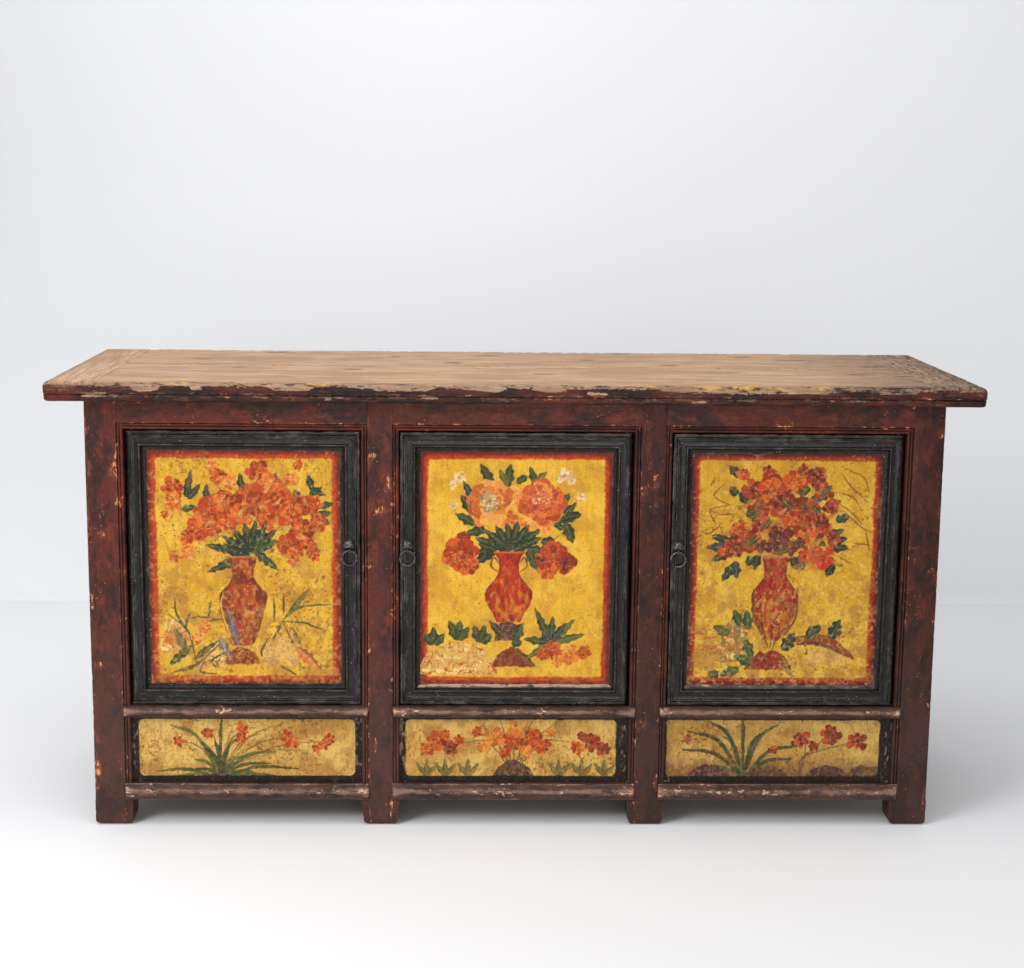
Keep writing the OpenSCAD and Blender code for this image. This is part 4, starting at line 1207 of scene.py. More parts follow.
def paint_left(c):
    """A wide bouquet in a tall bottle vase, with grasses and gourds at its foot."""
    c.ground(*toned(YELLOW, 0.96), 1.3)
    c.border(17, (188, 62, 24), (98, 30, 20))
    c.strokes(((38, 60, 22, 78), (45, 60, 36, 90), (50, 60, 66, 90), (60, 60, 86, 84), (34, 66, 12, 78),
            (62, 58, 80, 52)), 1.8, OLIVE)
    c.strokes(((12, 88, 13, 74, 10, 66), (13, 70, 14, 58), (8, 62, 12, 56)), 2.0, (176, 120, 44), 0.6)
    for *ends, tone in ((20, 80, 23, 92, PURPLE), (21, 79, 28, 86, DARK_GREEN),
            (20, 80, 22, 86, DARK_GREEN), (25, 76, 17, 75, GREEN), (30, 78, 31, 86, BLUE),
            (33, 79, 30, 82, BLUE), (49, 82, 48, 91, DARK_GREEN), (65, 82, 67, 91, BLUE),
            (80, 78, 76, 84, BLUE), (84, 81, 91, 85, DARK_GREEN), (84, 83, 93, 81, DARK_GREEN),
            (86, 83, 83, 90, DARK_GREEN), (88, 76, 97, 78, DARK_GREEN), (88, 73, 96, 74, GREEN),
            (88, 71, 95, 69, GREEN), (76, 78, 80, 70, BLUE)):
        c.leaves([ends], 15, tone)
    small = ((13, 84, 20), (13, 78, 16), (9, 73, 8), (34, 93, 12), (37, 89, 16), (43, 87, 14), (57, 91, 22),
            (62, 86, 18), (78, 94, 9), (75, 88, 14), (70, 86, 12), (19, 56, 12), (13, 54, 9), (22, 58, 9),
            (86, 56, 13), (76, 53, 12))
    flower_mass(c, small, (REDS, PINKS), (190, 110, 46))
    c.wash(((34, 74, 44), (54, 79, 46), (72, 76, 46), (80, 64, 34), (26, 66, 26)), 0.8, (170, 62, 26))
    mass = ((30, 73, 25), (40, 78, 22), (25, 66, 21), (34, 67, 17), (20, 63, 15), (66, 80, 24),
            (74, 74, 25), (83, 77, 20), (88, 70, 17), (80, 66, 24), (72, 60, 21), (84, 60, 15),
            (62, 71, 19), (42, 70, 18), (56, 78, 19), (50, 75, 33), (77, 57, 14), (87, 78, 13))
    flower_mass(c, mass, (REDS,), (150, 46, 22))
    for x, z, lean in ((42, 85, 1), (46, 83, -1), (60, 82, 1), (66, 77, 1), (36, 84, 1), (72, 86, -1),
            (46, 72, 1), (30, 68, 1), (82, 62, -1), (37, 78, 1), (86, 64, 1), (56, 70, -1)):
        c.leaf((x, z), (x + 4 * lean, z + 3.5), 8, (224, 164, 74), vein=(170, 84, 36))
    c.spray((53, 56), (29, 60, 30, 48, 38, 64, 44, 67, 50, 70, 56, 71, 62, 70, 67, 67), 21, DARK_GREEN)
    c.spray((55, 57), (68, 62, 68, 49, 64, 52, 60, 66), 18, GREEN)
    outline = (16.5, 18, 20, 25, 28, 37, 34, 44, 38.5, 47, 41, 38, 44, 26, 48, 22, 52, 25, 55, 30)
    c.vase(49, outline, ((92, 38, 24), (156, 58, 28), (208, 140, 76)), 0.25)
    c.leaf((46, 16), (40, 34), 16, (84, 76, 84), vein=(190, 170, 160))
    c.stroke((38.5, 40, 37.5, 32, 42, 20), 3.4, (222, 176, 76))
    c.stroke((36, 38, 38, 28, 43, 18), 2.2, (110, 52, 30))
    c.mound((48, 8.5), 68, 32, (128, 50, 28), (90, 38, 26))
    c.mound((31, 7), 62, 46, (214, 170, 84), (150, 96, 50), curls=True)
    c.mound((13, 14), 60, 70, (204, 160, 78), (176, 104, 60), curls=True)
    c.leaf((36, 20), (42, 10), 20, (112, 92, 96), vein=(206, 176, 140))
    c.leaf((12, 24), (20, 12), 18, (74, 84, 66))
    c.leaf((59, 17), (66, 8), 18, (104, 90, 96), vein=(206, 176, 140))
    c.strokes(((24, 8, 20, 22, 10, 30), (19, 24, 14, 30, 13, 38), (30, 27, 32, 36),
            (34, 28, 27, 29, 20, 28), (30, 27, 38, 28), (18, 24, 21, 31), (12, 5, 22, 7, 36, 17),
            (10, 4, 26, 9), (28, 10, 26, 5, 34, 4), (40, 14, 32, 10, 34, 7), (70, 28, 76, 35, 83, 41),
            (71, 29, 80, 33.5, 95, 34.5), (70, 27, 80, 26.5, 92, 23), (65, 27, 65, 37), (70, 30, 70, 39),
            (60, 12, 66, 22, 70, 28), (70, 26, 75, 17, 82, 10), (60, 15, 68, 8, 78, 3),
            (62, 20, 58, 13, 64, 8)), 4.4, (58, 60, 38))
    c.leaf((72, 29), (84, 41), 9, OLIVE)
    c.leaf((74, 25), (80, 14), 8, (90, 80, 96))
    c.blossom((28, 25), 19, PINKS, 5)
    c.blossom((25, 20), 14, PINKS, 5)
    c.blossom((10, 20), 14, PINKS, 5)
    c.mound((68, 8), 74, 62, SAND, (184, 124, 62))
    c.leaf((76, 16), (90, 5), 22, (196, 104, 50), vein=(226, 170, 100))
    c.leaf((10, 8), (22, 17), 18, GREEN)
    c.leaf((22, 10), (36, 19), 13, GREEN)
    c.age(1.0, 1.5)


def paint_centre(c):
    """Two peonies over a flared vase on a stand, a rock with leaves and a flowering plant."""
    c.ground(*YELLOW, 0.3)
    c.border(15, (184, 54, 22), (96, 26, 20))
    c.strokes(((50, 60, 44, 75, 34, 90), (50, 60, 60, 78, 60, 92), (48, 60, 30, 70, 20, 86),
            (54, 60, 70, 72, 84, 86), (50, 60, 30, 64, 22, 72), (54, 60, 72, 64, 80, 74)), 1.8,
            (140, 116, 50), 0.7)
    c.blossoms(((20, 89, 15), (17, 86, 10), (75, 90, 16), (79, 88, 10), (84, 81, 11), (17, 77, 10)), PALE,
            5)
    for *ends, size, tone in ((38, 86, 31, 95, 20, DARK_GREEN), (45, 85, 47, 95, 23, GREEN),
            (45, 86, 41, 93, 15, OLIVE), (50, 87, 56, 90, 17, GREEN), (60, 86, 57, 94, 17, GREEN),
            (60, 87, 66, 92, 14, OLIVE), (28, 79, 22, 88, 17, BLUE), (27, 74, 21, 82, 20, DARK_GREEN),
            (29, 69, 18, 74, 20, GREEN), (34, 67, 23, 65, 20, GREEN), (34, 65, 28, 71, 17, GREEN),
            (72, 75, 78, 83, 20, GREEN), (70, 71, 85, 74, 25, DARK_GREEN), (72, 71, 82, 79, 17, GREEN),
            (76, 70, 80, 61, 23, GREEN), (75, 67, 68, 72, 16, GREEN)):
        c.leaves([ends], size, tone)
    gold = ((206, 104, 40), (228, 150, 52), (242, 196, 110), (226, 160, 70))
    petals = ((48, 81, 18), (42, 73, 22), (32, 74, 22), (47, 71, 17), (60, 72, 22), (70, 75, 21),
            (55, 79, 16), (53, 68, 17), (64, 69, 20))
    flower_mass(c, petals, (gold, PINKS), (218, 140, 48))
    c.blossom((37, 79), 42, ((158, 60, 24), (208, 106, 34), (238, 196, 106), (150, 130, 110)), 10)
    c.blossom((63, 80), 44, ((146, 40, 20), (204, 84, 30), (240, 188, 110), (232, 180, 90)), 11)
    c.blossom((36, 79), 20, ((130, 96, 70), (210, 166, 90), (240, 220, 170), (110, 100, 100)), 7)
    c.blossom((62, 80), 19, ((140, 40, 24), (206, 84, 40), (246, 206, 150), (236, 196, 110)), 7)
    c.spray((48, 58), (28, 63.5, 33, 67, 39, 69, 45, 70.5, 51, 71, 57, 69.5, 63, 67.5, 64, 64), 22,
            DARK_GREEN, vein=(176, 170, 92))
    c.spray((40, 58), (26, 52, 28, 57, 30, 61), 20, DARK_GREEN)
    c.spray((56, 58.5), (62, 49, 60, 53, 66, 58), 20, GREEN)
    c.leaf((63, 62), (71, 62), 21, BLUE)
    flower_mass(c, ((21, 57, 33), (25, 52, 19), (18, 53, 14)), (REDS,), (170, 60, 26))
    flower_mass(c, ((70, 56, 29), (76, 53, 22), (67, 50, 18), (64, 54, 16)), (REDS, DEEP_REDS),
            (150, 44, 24))
    outline = (27, 24, 31, 32, 35, 43, 39.5, 48, 43, 38, 46.5, 25, 51, 20, 55, 24, 57.5, 32)
    c.vase(46.5, outline, ((122, 30, 18), (174, 42, 18), (216, 110, 44)), 0.42)
    for side in (-1, 1):
        x = 46.5 + side * 7.5
        c.stroke((x - side * 1.5, 49, x + side * 2, 51.5, x + side * 0.5, 55, x - side * 1.5, 53), 4,
                (96, 38, 40))
    c.mound((46, 19), 50, 42, PURPLE, (160, 110, 80))
    c.leaf((45, 20), (36, 28), 18, PURPLE)
    c.leaf((46, 20), (55, 27), 17, PURPLE)
    c.mound((20, 4), 156, 66, SAND, (180, 84, 38), curls=True)
    c.leaves(((7, 17, 2, 22), (7, 17, 7, 25), (7, 17, 13, 22), (20, 19, 15, 28), (20, 19, 21, 28),
            (20, 19, 26, 25), (32, 18, 28, 26), (32, 18, 34, 26), (32, 18, 38, 22), (50, 19, 54, 26),
            (48, 18, 54, 18)), 21, GREEN)
    c.mound((49, 7.5), 78, 40, (124, 52, 30), (88, 40, 28))
    c.leaf((50, 15), (62, 7), 14, BROWN)
    for *tip, tone in ((60, 34, GREEN), (70, 30, GREEN), (82, 29, OLIVE), (88, 22, OLIVE), (54, 20, GREEN),
            (56, 11, OLIVE), (77, 27, BLUE), (64, 24, BLUE)):
        c.leaf((69, 18), tip, 17, tone)
    flower_mass(c, ((70, 15, 20), (79, 13, 19), (87, 14, 14), (73, 10, 13), (65, 13, 12)), (REDS, PINKS),
            (176, 76, 34))
    c.age(0.4, 0.6)


def paint_right(c):
    """A dense dark bouquet with tendrils, a round vase rubbed through, a rock and a log."""
    c.ground(*toned(YELLOW, 0.93), 1.6)
    c.border(15, (166, 44, 24), (74, 22, 18))
    c.strokes(((18, 88, 12, 82, 20, 78), (20, 78, 10, 76, 13, 70), (5, 67, 10, 66, 16, 70),
            (78, 92, 84, 86, 92, 80), (72, 84, 84, 82, 90, 76), (80, 76, 88, 70, 96, 66), (74, 60, 86, 59),
            (76, 57, 86, 53), (86, 62, 96, 61), (76, 80, 86, 74, 90, 70), (12, 90, 10, 86),
            (24, 74, 14, 74), (92, 68, 95, 58), (80, 94, 90, 90, 93, 84)), 3.0, (112, 62, 30))
    dark = ((22, 62, 11, 65), (22, 60, 8, 60), (22, 58, 11, 54), (24, 53, 17, 45), (24, 54, 25, 46),
            (36, 57, 34, 50), (33, 56, 30, 52), (58, 57, 60, 50), (54, 56, 57, 50), (73, 62, 83, 64),
            (72, 64, 81, 68), (73, 60, 84, 60), (76, 53, 72, 47), (62, 80, 71, 82), (26, 84, 29, 78),
            (70, 78, 79, 80), (30, 90, 23, 93), (25, 90, 19, 95), (24, 82, 20, 86), (76, 72, 84, 73))
    for number, ends in enumerate(dark):
        c.leaves([ends], 20, (DARK_GREEN, BLUE, (32, 31, 36))[number % 3])
    flowers = ((32, 84, 20), (55, 88, 23), (66, 90, 19), (40, 92, 14), (27, 91, 13), (36, 77, 23),
            (70, 84, 17), (26, 67, 21), (36, 70, 19), (24, 60, 21), (17, 58, 11), (74, 77, 15),
            (58, 93, 11), (42, 85, 29), (49, 78, 25), (60, 76, 27), (54, 70, 23), (67, 70, 25),
            (47, 66, 22), (60, 66, 19), (32, 62, 19), (75, 64, 15), (62, 57, 15))
    flower_mass(c, flowers, (DEEP_REDS, REDS, DEEP_REDS), (104, 34, 24))
    shade = ((62, 26, 24), (88, 38, 30), (150, 92, 66), (50, 26, 26))
    c.blossoms(((46, 62, 24), (38, 60, 16), (54, 60, 16), (58, 62, 12)), shade, 7)
    c.leaves(((34, 76, 28, 74), (48, 80, 53, 77), (63, 78, 69, 74), (31, 72, 37, 76), (56, 83, 61, 84),
            (66, 64, 72, 60), (52, 59, 43, 57), (35, 64, 29, 60), (68, 82, 74, 87), (42, 72, 38, 67),
            (62, 86, 58, 82)), 14, (58, 60, 38))
    c.blossom((70, 56), 26, ((150, 34, 20), (190, 44, 26), (212, 96, 60), (120, 30, 24)), 5)
    for x, z in pairs(30, 78, 26, 76, 72, 72, 40, 81, 46, 74, 65, 61, 52, 83, 36, 65):
        c.leaf((x, z), (x + 4.5, z + 3), 10, (204, 140, 62), vein=(146, 66, 34))
    outline = (19, 8, 23, 24, 28, 36, 33, 43, 38, 47, 41, 43, 44, 33, 47.5, 23, 52, 24, 56, 30)
    c.vase(45.5, outline, ((104, 28, 20), (154, 38, 24), (206, 120, 66)), 0.5)
    c.strokes(((38, 36, 40, 24, 43, 16), (50, 34, 45, 26, 44, 16), (56, 27, 48, 22, 45, 15),
            (34, 42, 34.5, 30, 41, 20), (57.5, 42, 57, 30, 50, 20)), 4.6, (80, 42, 34), 0.8)
    c.mound((43, 6.5), 92, 38, (138, 44, 26), (94, 32, 24))
    c.leaf((50, 13), (57, 2), 14, BROWN)
    c.mound((25, 10), 60, 96, (126, 108, 52), (190, 104, 50), curls=True)
    c.leaves(((30, 20, 35, 11), (35, 9, 25, 13), (28, 7, 17, 4), (22, 22, 13, 26), (32, 24, 31, 33),
            (17, 5, 11, 4), (28, 26, 24, 33)), 21, (42, 66, 38))
    c.strokes(((5, 20, 16, 21), (6, 17, 14, 16), (3, 23, 10, 22), (10, 15, 18, 18)), 6, (172, 80, 38), 0.7)
    c.mound((73, 9), 86, 36, SAND, (190, 134, 64))
    c.stroke((55, 20, 66, 20, 76, 19, 88, 12), 20, (118, 42, 28))
    c.stroke((58, 18, 70, 18, 85, 13), 7, (74, 36, 30))
    c.leaves(((51, 15, 57, 23), (63, 21, 71, 26), (76, 20, 81, 29)), 27, (32, 42, 36))
    c.age(1.2, 1.8)


def tuft(c, root, tips, width, colour):
    """Long arching leaves from one root; they rise first and then lean out to their tips."""
    for number, (x, z) in enumerate(pairs(*tips)):
        arch = (root[0] + 0.45 * (x - root[0]), root[1] + 0.72 * (z - root[1]) + 0.2 * abs(x - root[0]))
        shade = 0.8 + 0.35 * (number % 3) / 2
        c.stroke((*root, *arch, x, z), width, tuple(shade * v for v in colour))


def paint_low_left(c):
    """An orchid with long arching leaves and small red flowers."""
    c.ground(*OCHRE, 1.5)
    for x, z in pairs(20, 62, 34, 80, 62, 86, 86, 62, 74, 48, 48, 80, 70, 70, 56, 74):
        c.stroke((38, 15, (38 + x) / 2, (20 + z) / 2 + 12, x, z), 2.4, (92, 64, 34), 0.8)
    c.spray((38, 20), (26, 78, 44, 86, 54, 62, 64, 46), 8, (206, 160, 84), vein=(130, 90, 44))
    green = (64, 76, 36)
    tuft(c, (38, 4), (10, 16, 20, 10, 17, 86, 39, 98, 27, 34, 62, 46, 72, 20), 7, green)
    tuft(c, (37, 2), (24, 4, 30, 60, 46, 66, 56, 4, 66, 8, 50, 40, 60, 28), 7, green)
    tuft(c, (39, 0), (32, 50, 42, 54, 46, 30, 28, 20, 36, 60, 52, 16), 9, (48, 62, 34))
    c.mound((38, 0), 70, 20, (48, 46, 48), (100, 100, 104))
    c.blossoms(((20, 62, 13), (33, 74, 14), (48, 80, 16), (47.5, 66, 13), (68, 66, 17), (83, 56, 14),
            (86, 66, 11), (80, 50, 11), (71, 58, 9)), REDS, 5)
    c.age(1.4, 0.8)


def paint_low_centre(c):
    """A red flower spray over a dark stone, with a cluster on each side."""
    c.ground(*OCHRE, 1.5)
    for x, z in pairs(36, 86, 44, 95, 58, 92, 66, 84, 28, 60, 74, 62, 50, 90):
        c.stroke((50, 12, (50 + x) / 2, 60, x, z), 3.0, (90, 62, 34), 0.8)
    spray = ((50, 62, 21), (42, 70, 18), (58, 68, 18), (37, 54, 14), (63, 54, 14), (50, 80, 14),
            (46, 46, 12), (56, 46, 12), (34, 76, 10), (66, 76, 10))
    flower_mass(c, spray, (REDS, PINKS), (176, 96, 48))
    sides = ((16, 62, 18), (22, 54, 15), (12, 50, 13), (84, 60, 18), (78, 52, 14), (89, 50, 13),
            (26, 64, 10), (80, 70, 10), (20, 72, 9))
    flower_mass(c, sides, (REDS, DEEP_REDS), (150, 70, 36))
    for x in (12, 20, 30, 70, 80, 90):
        c.spray((x, 8), (x - 5, 32, x, 38, x + 5, 30), 11, (104, 84, 40))
    c.mound((50, 2), 84, 44, (60, 42, 38), (112, 76, 52))
    c.age(1.4, 0.9)


def paint_low_right(c):
    """Orchid leaves beside three red flowers, over low mounds."""
    c.ground(*toned(OCHRE, 0.94), 2.0)
    c.lay(smooth(c.v + 22 * (noise(c.flat, 14, 91, 4) - 0.5), 62, 20) * 0.7, (104, 66, 46), 0.3)
    tuft(c, (35, 6), (20, 92, 34, 98, 50, 88, 8, 50, 60, 56, 16, 24, 10, 78, 56, 36, 26, 70, 42, 74), 8,
            (46, 60, 38))
    for x, z in pairs(62, 70, 74, 76, 85, 64):
        c.stroke((60, 10, 62, 40, x, z), 3, (88, 62, 34))
    c.blossoms(((60, 66, 19), (73, 74, 22), (85, 62, 20), (10, 66, 10), (48, 50, 10), (66, 56, 12)),
            DEEP_REDS, 6)
    for x, tone in ((20, PURPLE), (45, (92, 70, 44)), (72, PURPLE), (90, (92, 70, 44))):
        c.mound((x, 2), 90, 34, tone, (66, 42, 36))
    c.age(1.5, 0.9)


def relief(canvas):
    """Slight thickness of the paint, in metres, raised where its brightness changes."""
    brightness = canvas.colour.mean(-1)
    paint_edge = np.hypot(*np.gradient(brightness)) / 255
    return (noise(canvas.flat, 12, 61, 3) - 0.5) * 0.25 * MM + np.clip(paint_edge, 0, 0.3) * 0.3 * MM


def make_panel(node, slot, material, canvas, overlap, front_y):
    """A panel board; its front carries the painting, and its edges run into the frame's groove."""
    lo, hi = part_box(node)
    rows, columns = canvas.u.shape
    x = lo.x + overlap + canvas.u * MM
    z = lo.z + overlap + canvas.v * MM
    y = front_y + 0.3 * MM - relief(canvas)
    front = np.stack([x, y, z], -1).reshape(-1, 3)
    faces = grid_faces(rows, columns, False, False)
    colours = linear(canvas.colour).reshape(-1, 3)
    rim = [(lo.x, lo.z), (hi.x, lo.z), (hi.x, hi.z), (lo.x, hi.z)]
    board = np.array([(px, py, pz) for py in (front_y + 0.8 * MM, hi.y) for px, pz in rim])
    base = len(front)
    faces += [[base, base + 1, base + 2, base + 3], [base + 7, base + 6, base + 5, base + 4]]
    faces += [[base + k, base + 4 + k, base + 4 + (k + 1) % 4, base + (k + 1) % 4] for k in range(4)]
    verts = np.concatenate([front, board])
    colours = np.concatenate([colours, np.tile(linear((70, 46, 34)), (8, 1))])
    piece = add_mesh("painted_" + node, verts, faces, node, slot, material)
    layer = piece.data.color_attributes.new("colour", "FLOAT_COLOR", "POINT")
    opaque = np.column_stack([colours, np.ones(len(colours))])
    layer.data.foreach_set("color", opaque.astype(np.float32).ravel())
    return piece


def panel_canvas(node, overlap, pitch, seed):
    """A canvas the size of a panel's visible part."""
    lo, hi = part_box(node)
    return Canvas((hi.x - lo.x - 2 * overlap) / MM, (hi.z - lo.z - 2 * overlap) / MM, pitch, seed)


def frame_black(canvas, left, right, bottom, top, corner):
    """Paints everything outside a round-cornered field black."""
    canvas.whole()
    w, h = canvas.size
    wander = 2.5 * (noise(canvas.flat, 16, 71, 3) - 0.5)
    dx = np.maximum(np.maximum(left + corner - canvas.u, canvas.u - (w - right - corner)), 0)
    dz = np.maximum(np.maximum(bottom + corner - canvas.v, canvas.v - (h - top - corner)), 0)
    outside = smooth(np.hypot(dx, dz) + wander, corner - 0.7, corner + 0.7)
    canvas.lay(outside, (26, 21, 20), 0)
    gap = np.minimum(canvas.u, w - canvas.u)
    rubbed = smooth(noise(canvas.flat * (1.0, 0.4, 1.0), 5, 72, 3), 0.6, 0.7) * smooth(gap, 22, 6)
    canvas.lay(rubbed * outside * 0.8, (156, 132, 116), 0)


# Spacing of the painted points, in mm, and how far a lower panel runs into the rails and posts
DOOR_PITCH = 1.4
LOW_PITCH = 1.5
LOW_GROOVE = 6 * MM
PAINTERS = {"left": paint_left, "centre": paint_centre, "right": paint_right}
LOW_PAINTERS = {"left": paint_low_left, "centre": paint_low_centre, "right": paint_low_right}
# Black margins of the lower panels, in mm: left, right, bottom, top and corner radius
LOW_MARGINS = {"left": (14, 14, 13, 7, 11), "centre": (12, 24, 13, 7, 9), "right": (4, 24, 13, 7, 9)}

for number, bay in enumerate(BAYS):
    node = f"door_{bay}_panel"
    canvas = panel_canvas(node, GROOVE, DOOR_PITCH, number)
    PAINTERS[bay](canvas)
    make_panel(node, "door_panel_paint", DOOR_PAINT, canvas, GROOVE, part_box(node)[0].y)
    node = "lower_panel_" + bay
    canvas = panel_canvas(node, LOW_GROOVE, LOW_PITCH, number + 10)
    LOW_PAINTERS[bay](canvas)
    frame_black(canvas, *LOW_MARGINS[bay])
    make_panel(node, "lower_panel_paint", LOWER_PAINT, canvas, LOW_GROOVE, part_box(node)[0].y)

# ---- Pulls ----


def make_boss(bay, x):
    """A forged iron hood over the staple: domed above and flat underneath, with spread lower corners."""
    lo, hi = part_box("pull_boss_" + bay)
    radius = (hi.x - lo.x) / 2
    centre_z = hi.z - radius
    drop = centre_z - lo.z
    base_y = lo.y + radius
    turns = np.radians(np.linspace(0, 360, 48, endpoint=False))
    spread = 1 - sum(0.12 * np.exp(-(((np.degrees(turns) - place) / 25) ** 2)) for place in (20, 160))
    down = np.maximum(-np.sin(turns), 1e-6)
    outline = np.where(np.sin(turns) < 0, np.minimum(radius, drop / down), radius * spread)
    shares = np.array([1.0, 1.0, 0.97, 0.9, 0.78, 0.6, 0.4, 0.2, 0.05])
    heights = np.array([0.0, 0.12, 0.3, 0.5, 0.7, 0.86, 0.95, 0.99, 1.0])
    grid = np.empty((len(shares), len(turns), 3))
    for i, (share, height) in enumerate(zip(shares, heights)):
        grid[i, :, 0] = x + outline * share * np.cos(turns)
        grid[i, :, 2] = centre_z + outline * share * np.sin(turns)
        grid[i, :, 1] = base_y - height * radius * 0.98
    grid[0, :, 1] += 1.5 * MM
    grid[1:, :, 1] += 0.5 * MM * (noise(grid[1:], 5 * MM, 4, 2) - 0.5)
    rows, columns = grid.shape[:2]
    faces = grid_faces(rows, columns, True, False)
    faces += [list(range(columns))[::-1], list(range((rows - 1) * columns, rows * columns))]
    node = "pull_boss_" + bay
    add_mesh("iron_" + node, grid.reshape(-1, 3), faces, node, "iron", IRON, corner=50)


def make_staple(bay, x):
    """The staple's eye, bent from wire, with its shank through the stile and a clinched tail."""
    node = "pull_staple_" + bay
    lo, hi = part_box(node)
    wire, loop = 1.2 * MM, 3.4 * MM
    eye_y = lo.y + loop + 1.3 * MM
    turns = np.radians(np.linspace(0, 360, 36, endpoint=False))
    eye = [(x, eye_y + loop * math.cos(a), EYE_Z + loop * math.sin(a)) for a in turns]
    bend_y = hi.y - 1.5 * MM
    shank = [(x, y, EYE_Z) for y in np.linspace(eye_y + loop - 0.4 * MM, bend_y, 12)]
    tail = [(x, bend_y, EYE_Z + 2 * MM - k * MM) for k in range(12)]
    parts = joined([
        tube_mesh(eye, wire, 14, closed=True),
        tube_mesh(shank, 1.9 * MM, 14),
        tube_mesh(tail, np.linspace(1.5, 0.9, 12) * MM, 12),
    ])
    add_mesh("iron_" + node, *parts, node, "iron", IRON, corner=60)


def make_ring(bay):
    """A hand-forged ring, a little thicker and thinner round its length."""
    node = "pull_ring_" + bay
    lo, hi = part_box(node)
    wire = (hi.y - lo.y) / 2
    radius = (hi.x - lo.x) / 2 - wire
    cx, cz, cy = (lo.x + hi.x) / 2, (lo.z + hi.z) / 2, (lo.y + hi.y) / 2
    turns = np.linspace(0, 2 * math.pi, 96, endpoint=False)
    path = np.stack([cx + radius * np.cos(turns), np.full_like(turns, cy), cz + radius * np.sin(turns)], -1)
    thick = wire * (0.94 + 0.06 * np.sin(3 * turns + len(bay)))
    parts = tube_mesh(path, thick, 16, closed=True)
    add_mesh("iron_" + node, *parts, node, "iron", IRON, corner=60)


for bay in BAYS:
    lo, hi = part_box("pull_boss_" + bay)
    x = (lo.x + hi.x) / 2
    make_boss(bay, x)
    make_staple(bay, x)
    make_ring(bay)

# ---- Sides, back and inside ----


def make_board(node, slot, material, run, radius=1.2 * MM):
    """A plain rectangular member, as large as its CAD node's visible part."""
    lo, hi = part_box(node)
    if run == "side":
        start, end = POST_HI.y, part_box("post_back_left")[0].y
        outline = [(lo.x, lo.z), (hi.x, lo.z), (hi.x, hi.z), (lo.x, hi.z)]
    else:
        start, end = lo.z, hi.z
        outline = [(lo.x, lo.y), (hi.x, lo.y), (hi.x, hi.y), (lo.x, hi.y)]
    member("made_" + node, node, slot, material, outline, start, end, run, radius=radius, divide=14 * MM,
           spacing=10 * MM)


for side in ("left", "right"):
    make_board("side_rail_top_" + side, "red_lacquer", RED, "side")
    make_board("side_rail_bottom_" + side, "red_lacquer", RED, "side")
    make_board("side_panel_" + side, "red_lacquer", RED, "upright")

CARRIED_OVER = (
    "back_rails_top", "back_rails_bottom", "back_panel_left", "back_panel_centre", "back_panel_right",
    "floor_boards",
)
for node in CARRIED_OVER:
    kept = frame["nodes"][node]
    kept.data.materials.clear()
    kept.data.materials.append(WOOD)
    bevel = kept.modifiers.new("soft_arris", "BEVEL")
    bevel.width = 1 * MM
    bevel.segments = 2
    bevel.limit_method = "ANGLE"

# ---- Studio ----

WALL_Y = 1.65
WALL_HEIGHT = 4.0
HALF_FLOOR = 7.0
AIR_STRENGTH = 0.36


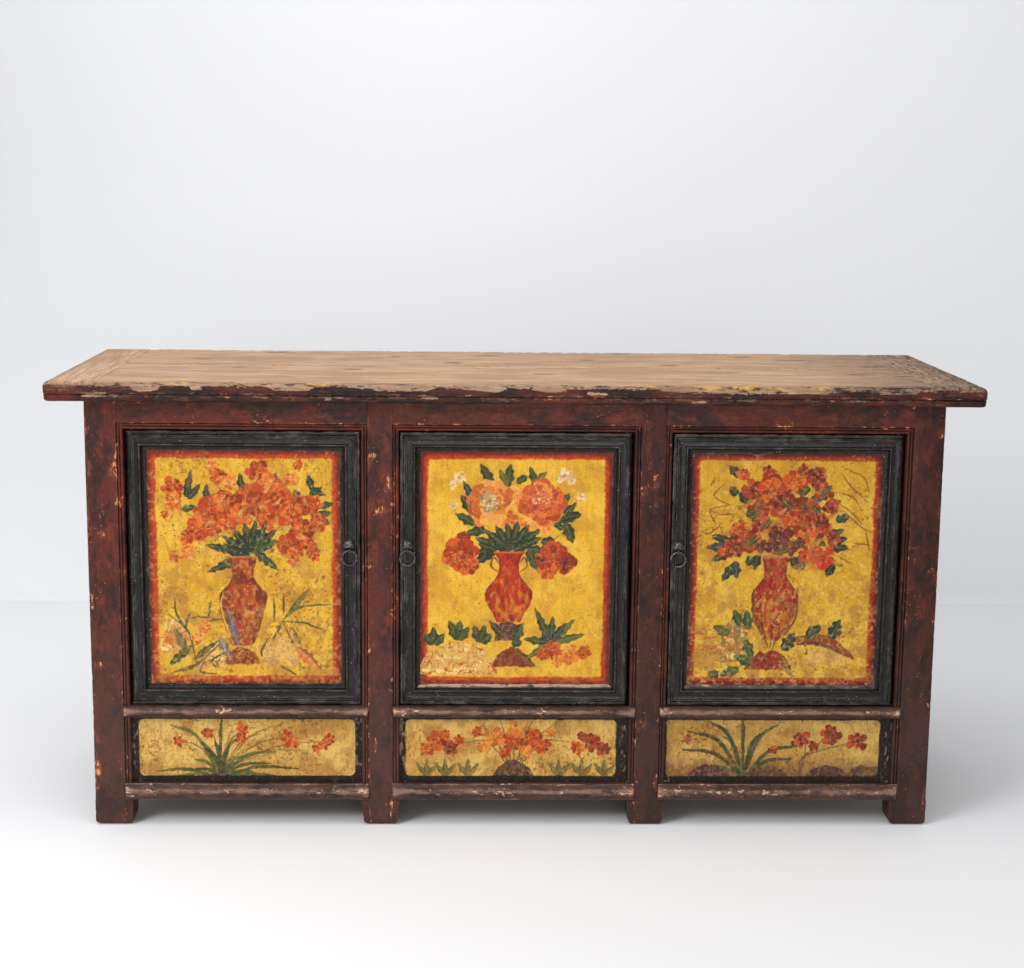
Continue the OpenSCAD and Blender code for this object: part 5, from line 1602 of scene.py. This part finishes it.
def make_stage():
    """A pale floor that turns up into a pale wall behind, with painted shade towards its left; from its back,
    the wall isn't there.
    """
    profile = [(-6.0, 0.0), (WALL_Y - 0.05, 0.0), (WALL_Y, 0.02), (WALL_Y, WALL_HEIGHT)]
    verts = np.array([(x, y, z) for y, z in profile for x in (-HALF_FLOOR, HALF_FLOOR)])
    faces = [[2 * i, 2 * i + 1, 2 * i + 3, 2 * i + 2] for i in range(len(profile) - 1)]
    mesh = bpy.data.meshes.new("studio")
    mesh.from_pydata(verts.tolist(), [], faces)
    f = Finish("studio_white", 0.9, 0.1)
    place = f.node("SeparateXYZ", {0: f.node("TexCoord").outputs["Object"]})
    # Painted shade: the wall, and the floor just in front of it, get darker towards the left and higher up.
    shade = f.times(f.step(place.outputs[0], 0.2, -2.2), f.step(place.outputs[1], 1.4, WALL_Y))
    shade = f.times(shade, f.step(place.outputs[2], -0.6, 1.6))
    f.feed(f.shader.inputs["Base Color"], f.mix(shade, (240, 241, 243), (205, 206, 209)))
    clear = f.node("BsdfTransparent").outputs[0]
    behind = f.node("NewGeometry").outputs["Backfacing"]
    one_sided = f.node("MixShader", {0: behind, 1: f.shader.outputs[0], 2: clear}).outputs[0]
    f.feed(f.tree.nodes["Material Output"].inputs["Surface"], one_sided)
    mesh.materials.append(f.material)
    studio = bpy.data.objects.new("studio", mesh)
    bpy.context.scene.collection.objects.link(studio)


def add_light(name, place, target, size, power):
    """A rectangular lamp at a place, turned to its target."""
    light = bpy.data.lights.new(name, "AREA")
    light.shape = "RECTANGLE"
    light.size, light.size_y = size
    light.energy = power
    holder = bpy.data.objects.new(name, light)
    bpy.context.scene.collection.objects.link(holder)
    holder.location = place
    holder.rotation_euler = (Vector(target) - Vector(place)).to_track_quat("-Z", "Y").to_euler()


make_stage()
world = bpy.data.worlds.new("studio_air")
world.use_nodes = True
air = world.node_tree.nodes["Background"]
air.inputs[0].default_value = (1.0, 1.0, 1.0, 1.0)
air.inputs[1].default_value = AIR_STRENGTH
bpy.context.scene.world = world
add_light("key", (-2.6, -2.8, 2.4), (0.1, 0.0, 0.3), (1.6, 1.4), 86)
add_light("ceiling", (-0.4, -1.0, 3.4), (0.0, 0.2, 0.0), (4.0, 2.4), 65)
add_light("front", (0.2, -5.0, 0.8), (0.0, 0.0, 0.15), (3.0, 1.2), 40)

# ---- Camera ----

# Where the camera stands, in metres, and how far it is turned, tipped down and rolled, in degrees
CAMERA_PLACE = (-0.1051, -3.6963, 1.3059)
CAMERA_TURN = -1.597
CAMERA_DOWN = 10.0786
CAMERA_ROLL = 0.6105

camera_data = bpy.data.cameras.new("camera")
camera_data.sensor_width = 36
camera_data.lens = 63.28
camera = bpy.data.objects.new("camera", camera_data)
bpy.context.scene.collection.objects.link(camera)
camera.matrix_world = (
    Matrix.Translation(CAMERA_PLACE)
    @ Matrix.Rotation(math.radians(CAMERA_TURN), 4, "Z")
    @ Matrix.Rotation(math.radians(90 - CAMERA_DOWN), 4, "X")
    @ Matrix.Rotation(math.radians(CAMERA_ROLL), 4, "Z")
)
bpy.context.scene.camera = camera
bpy.context.scene.view_settings.view_transform = "Standard"
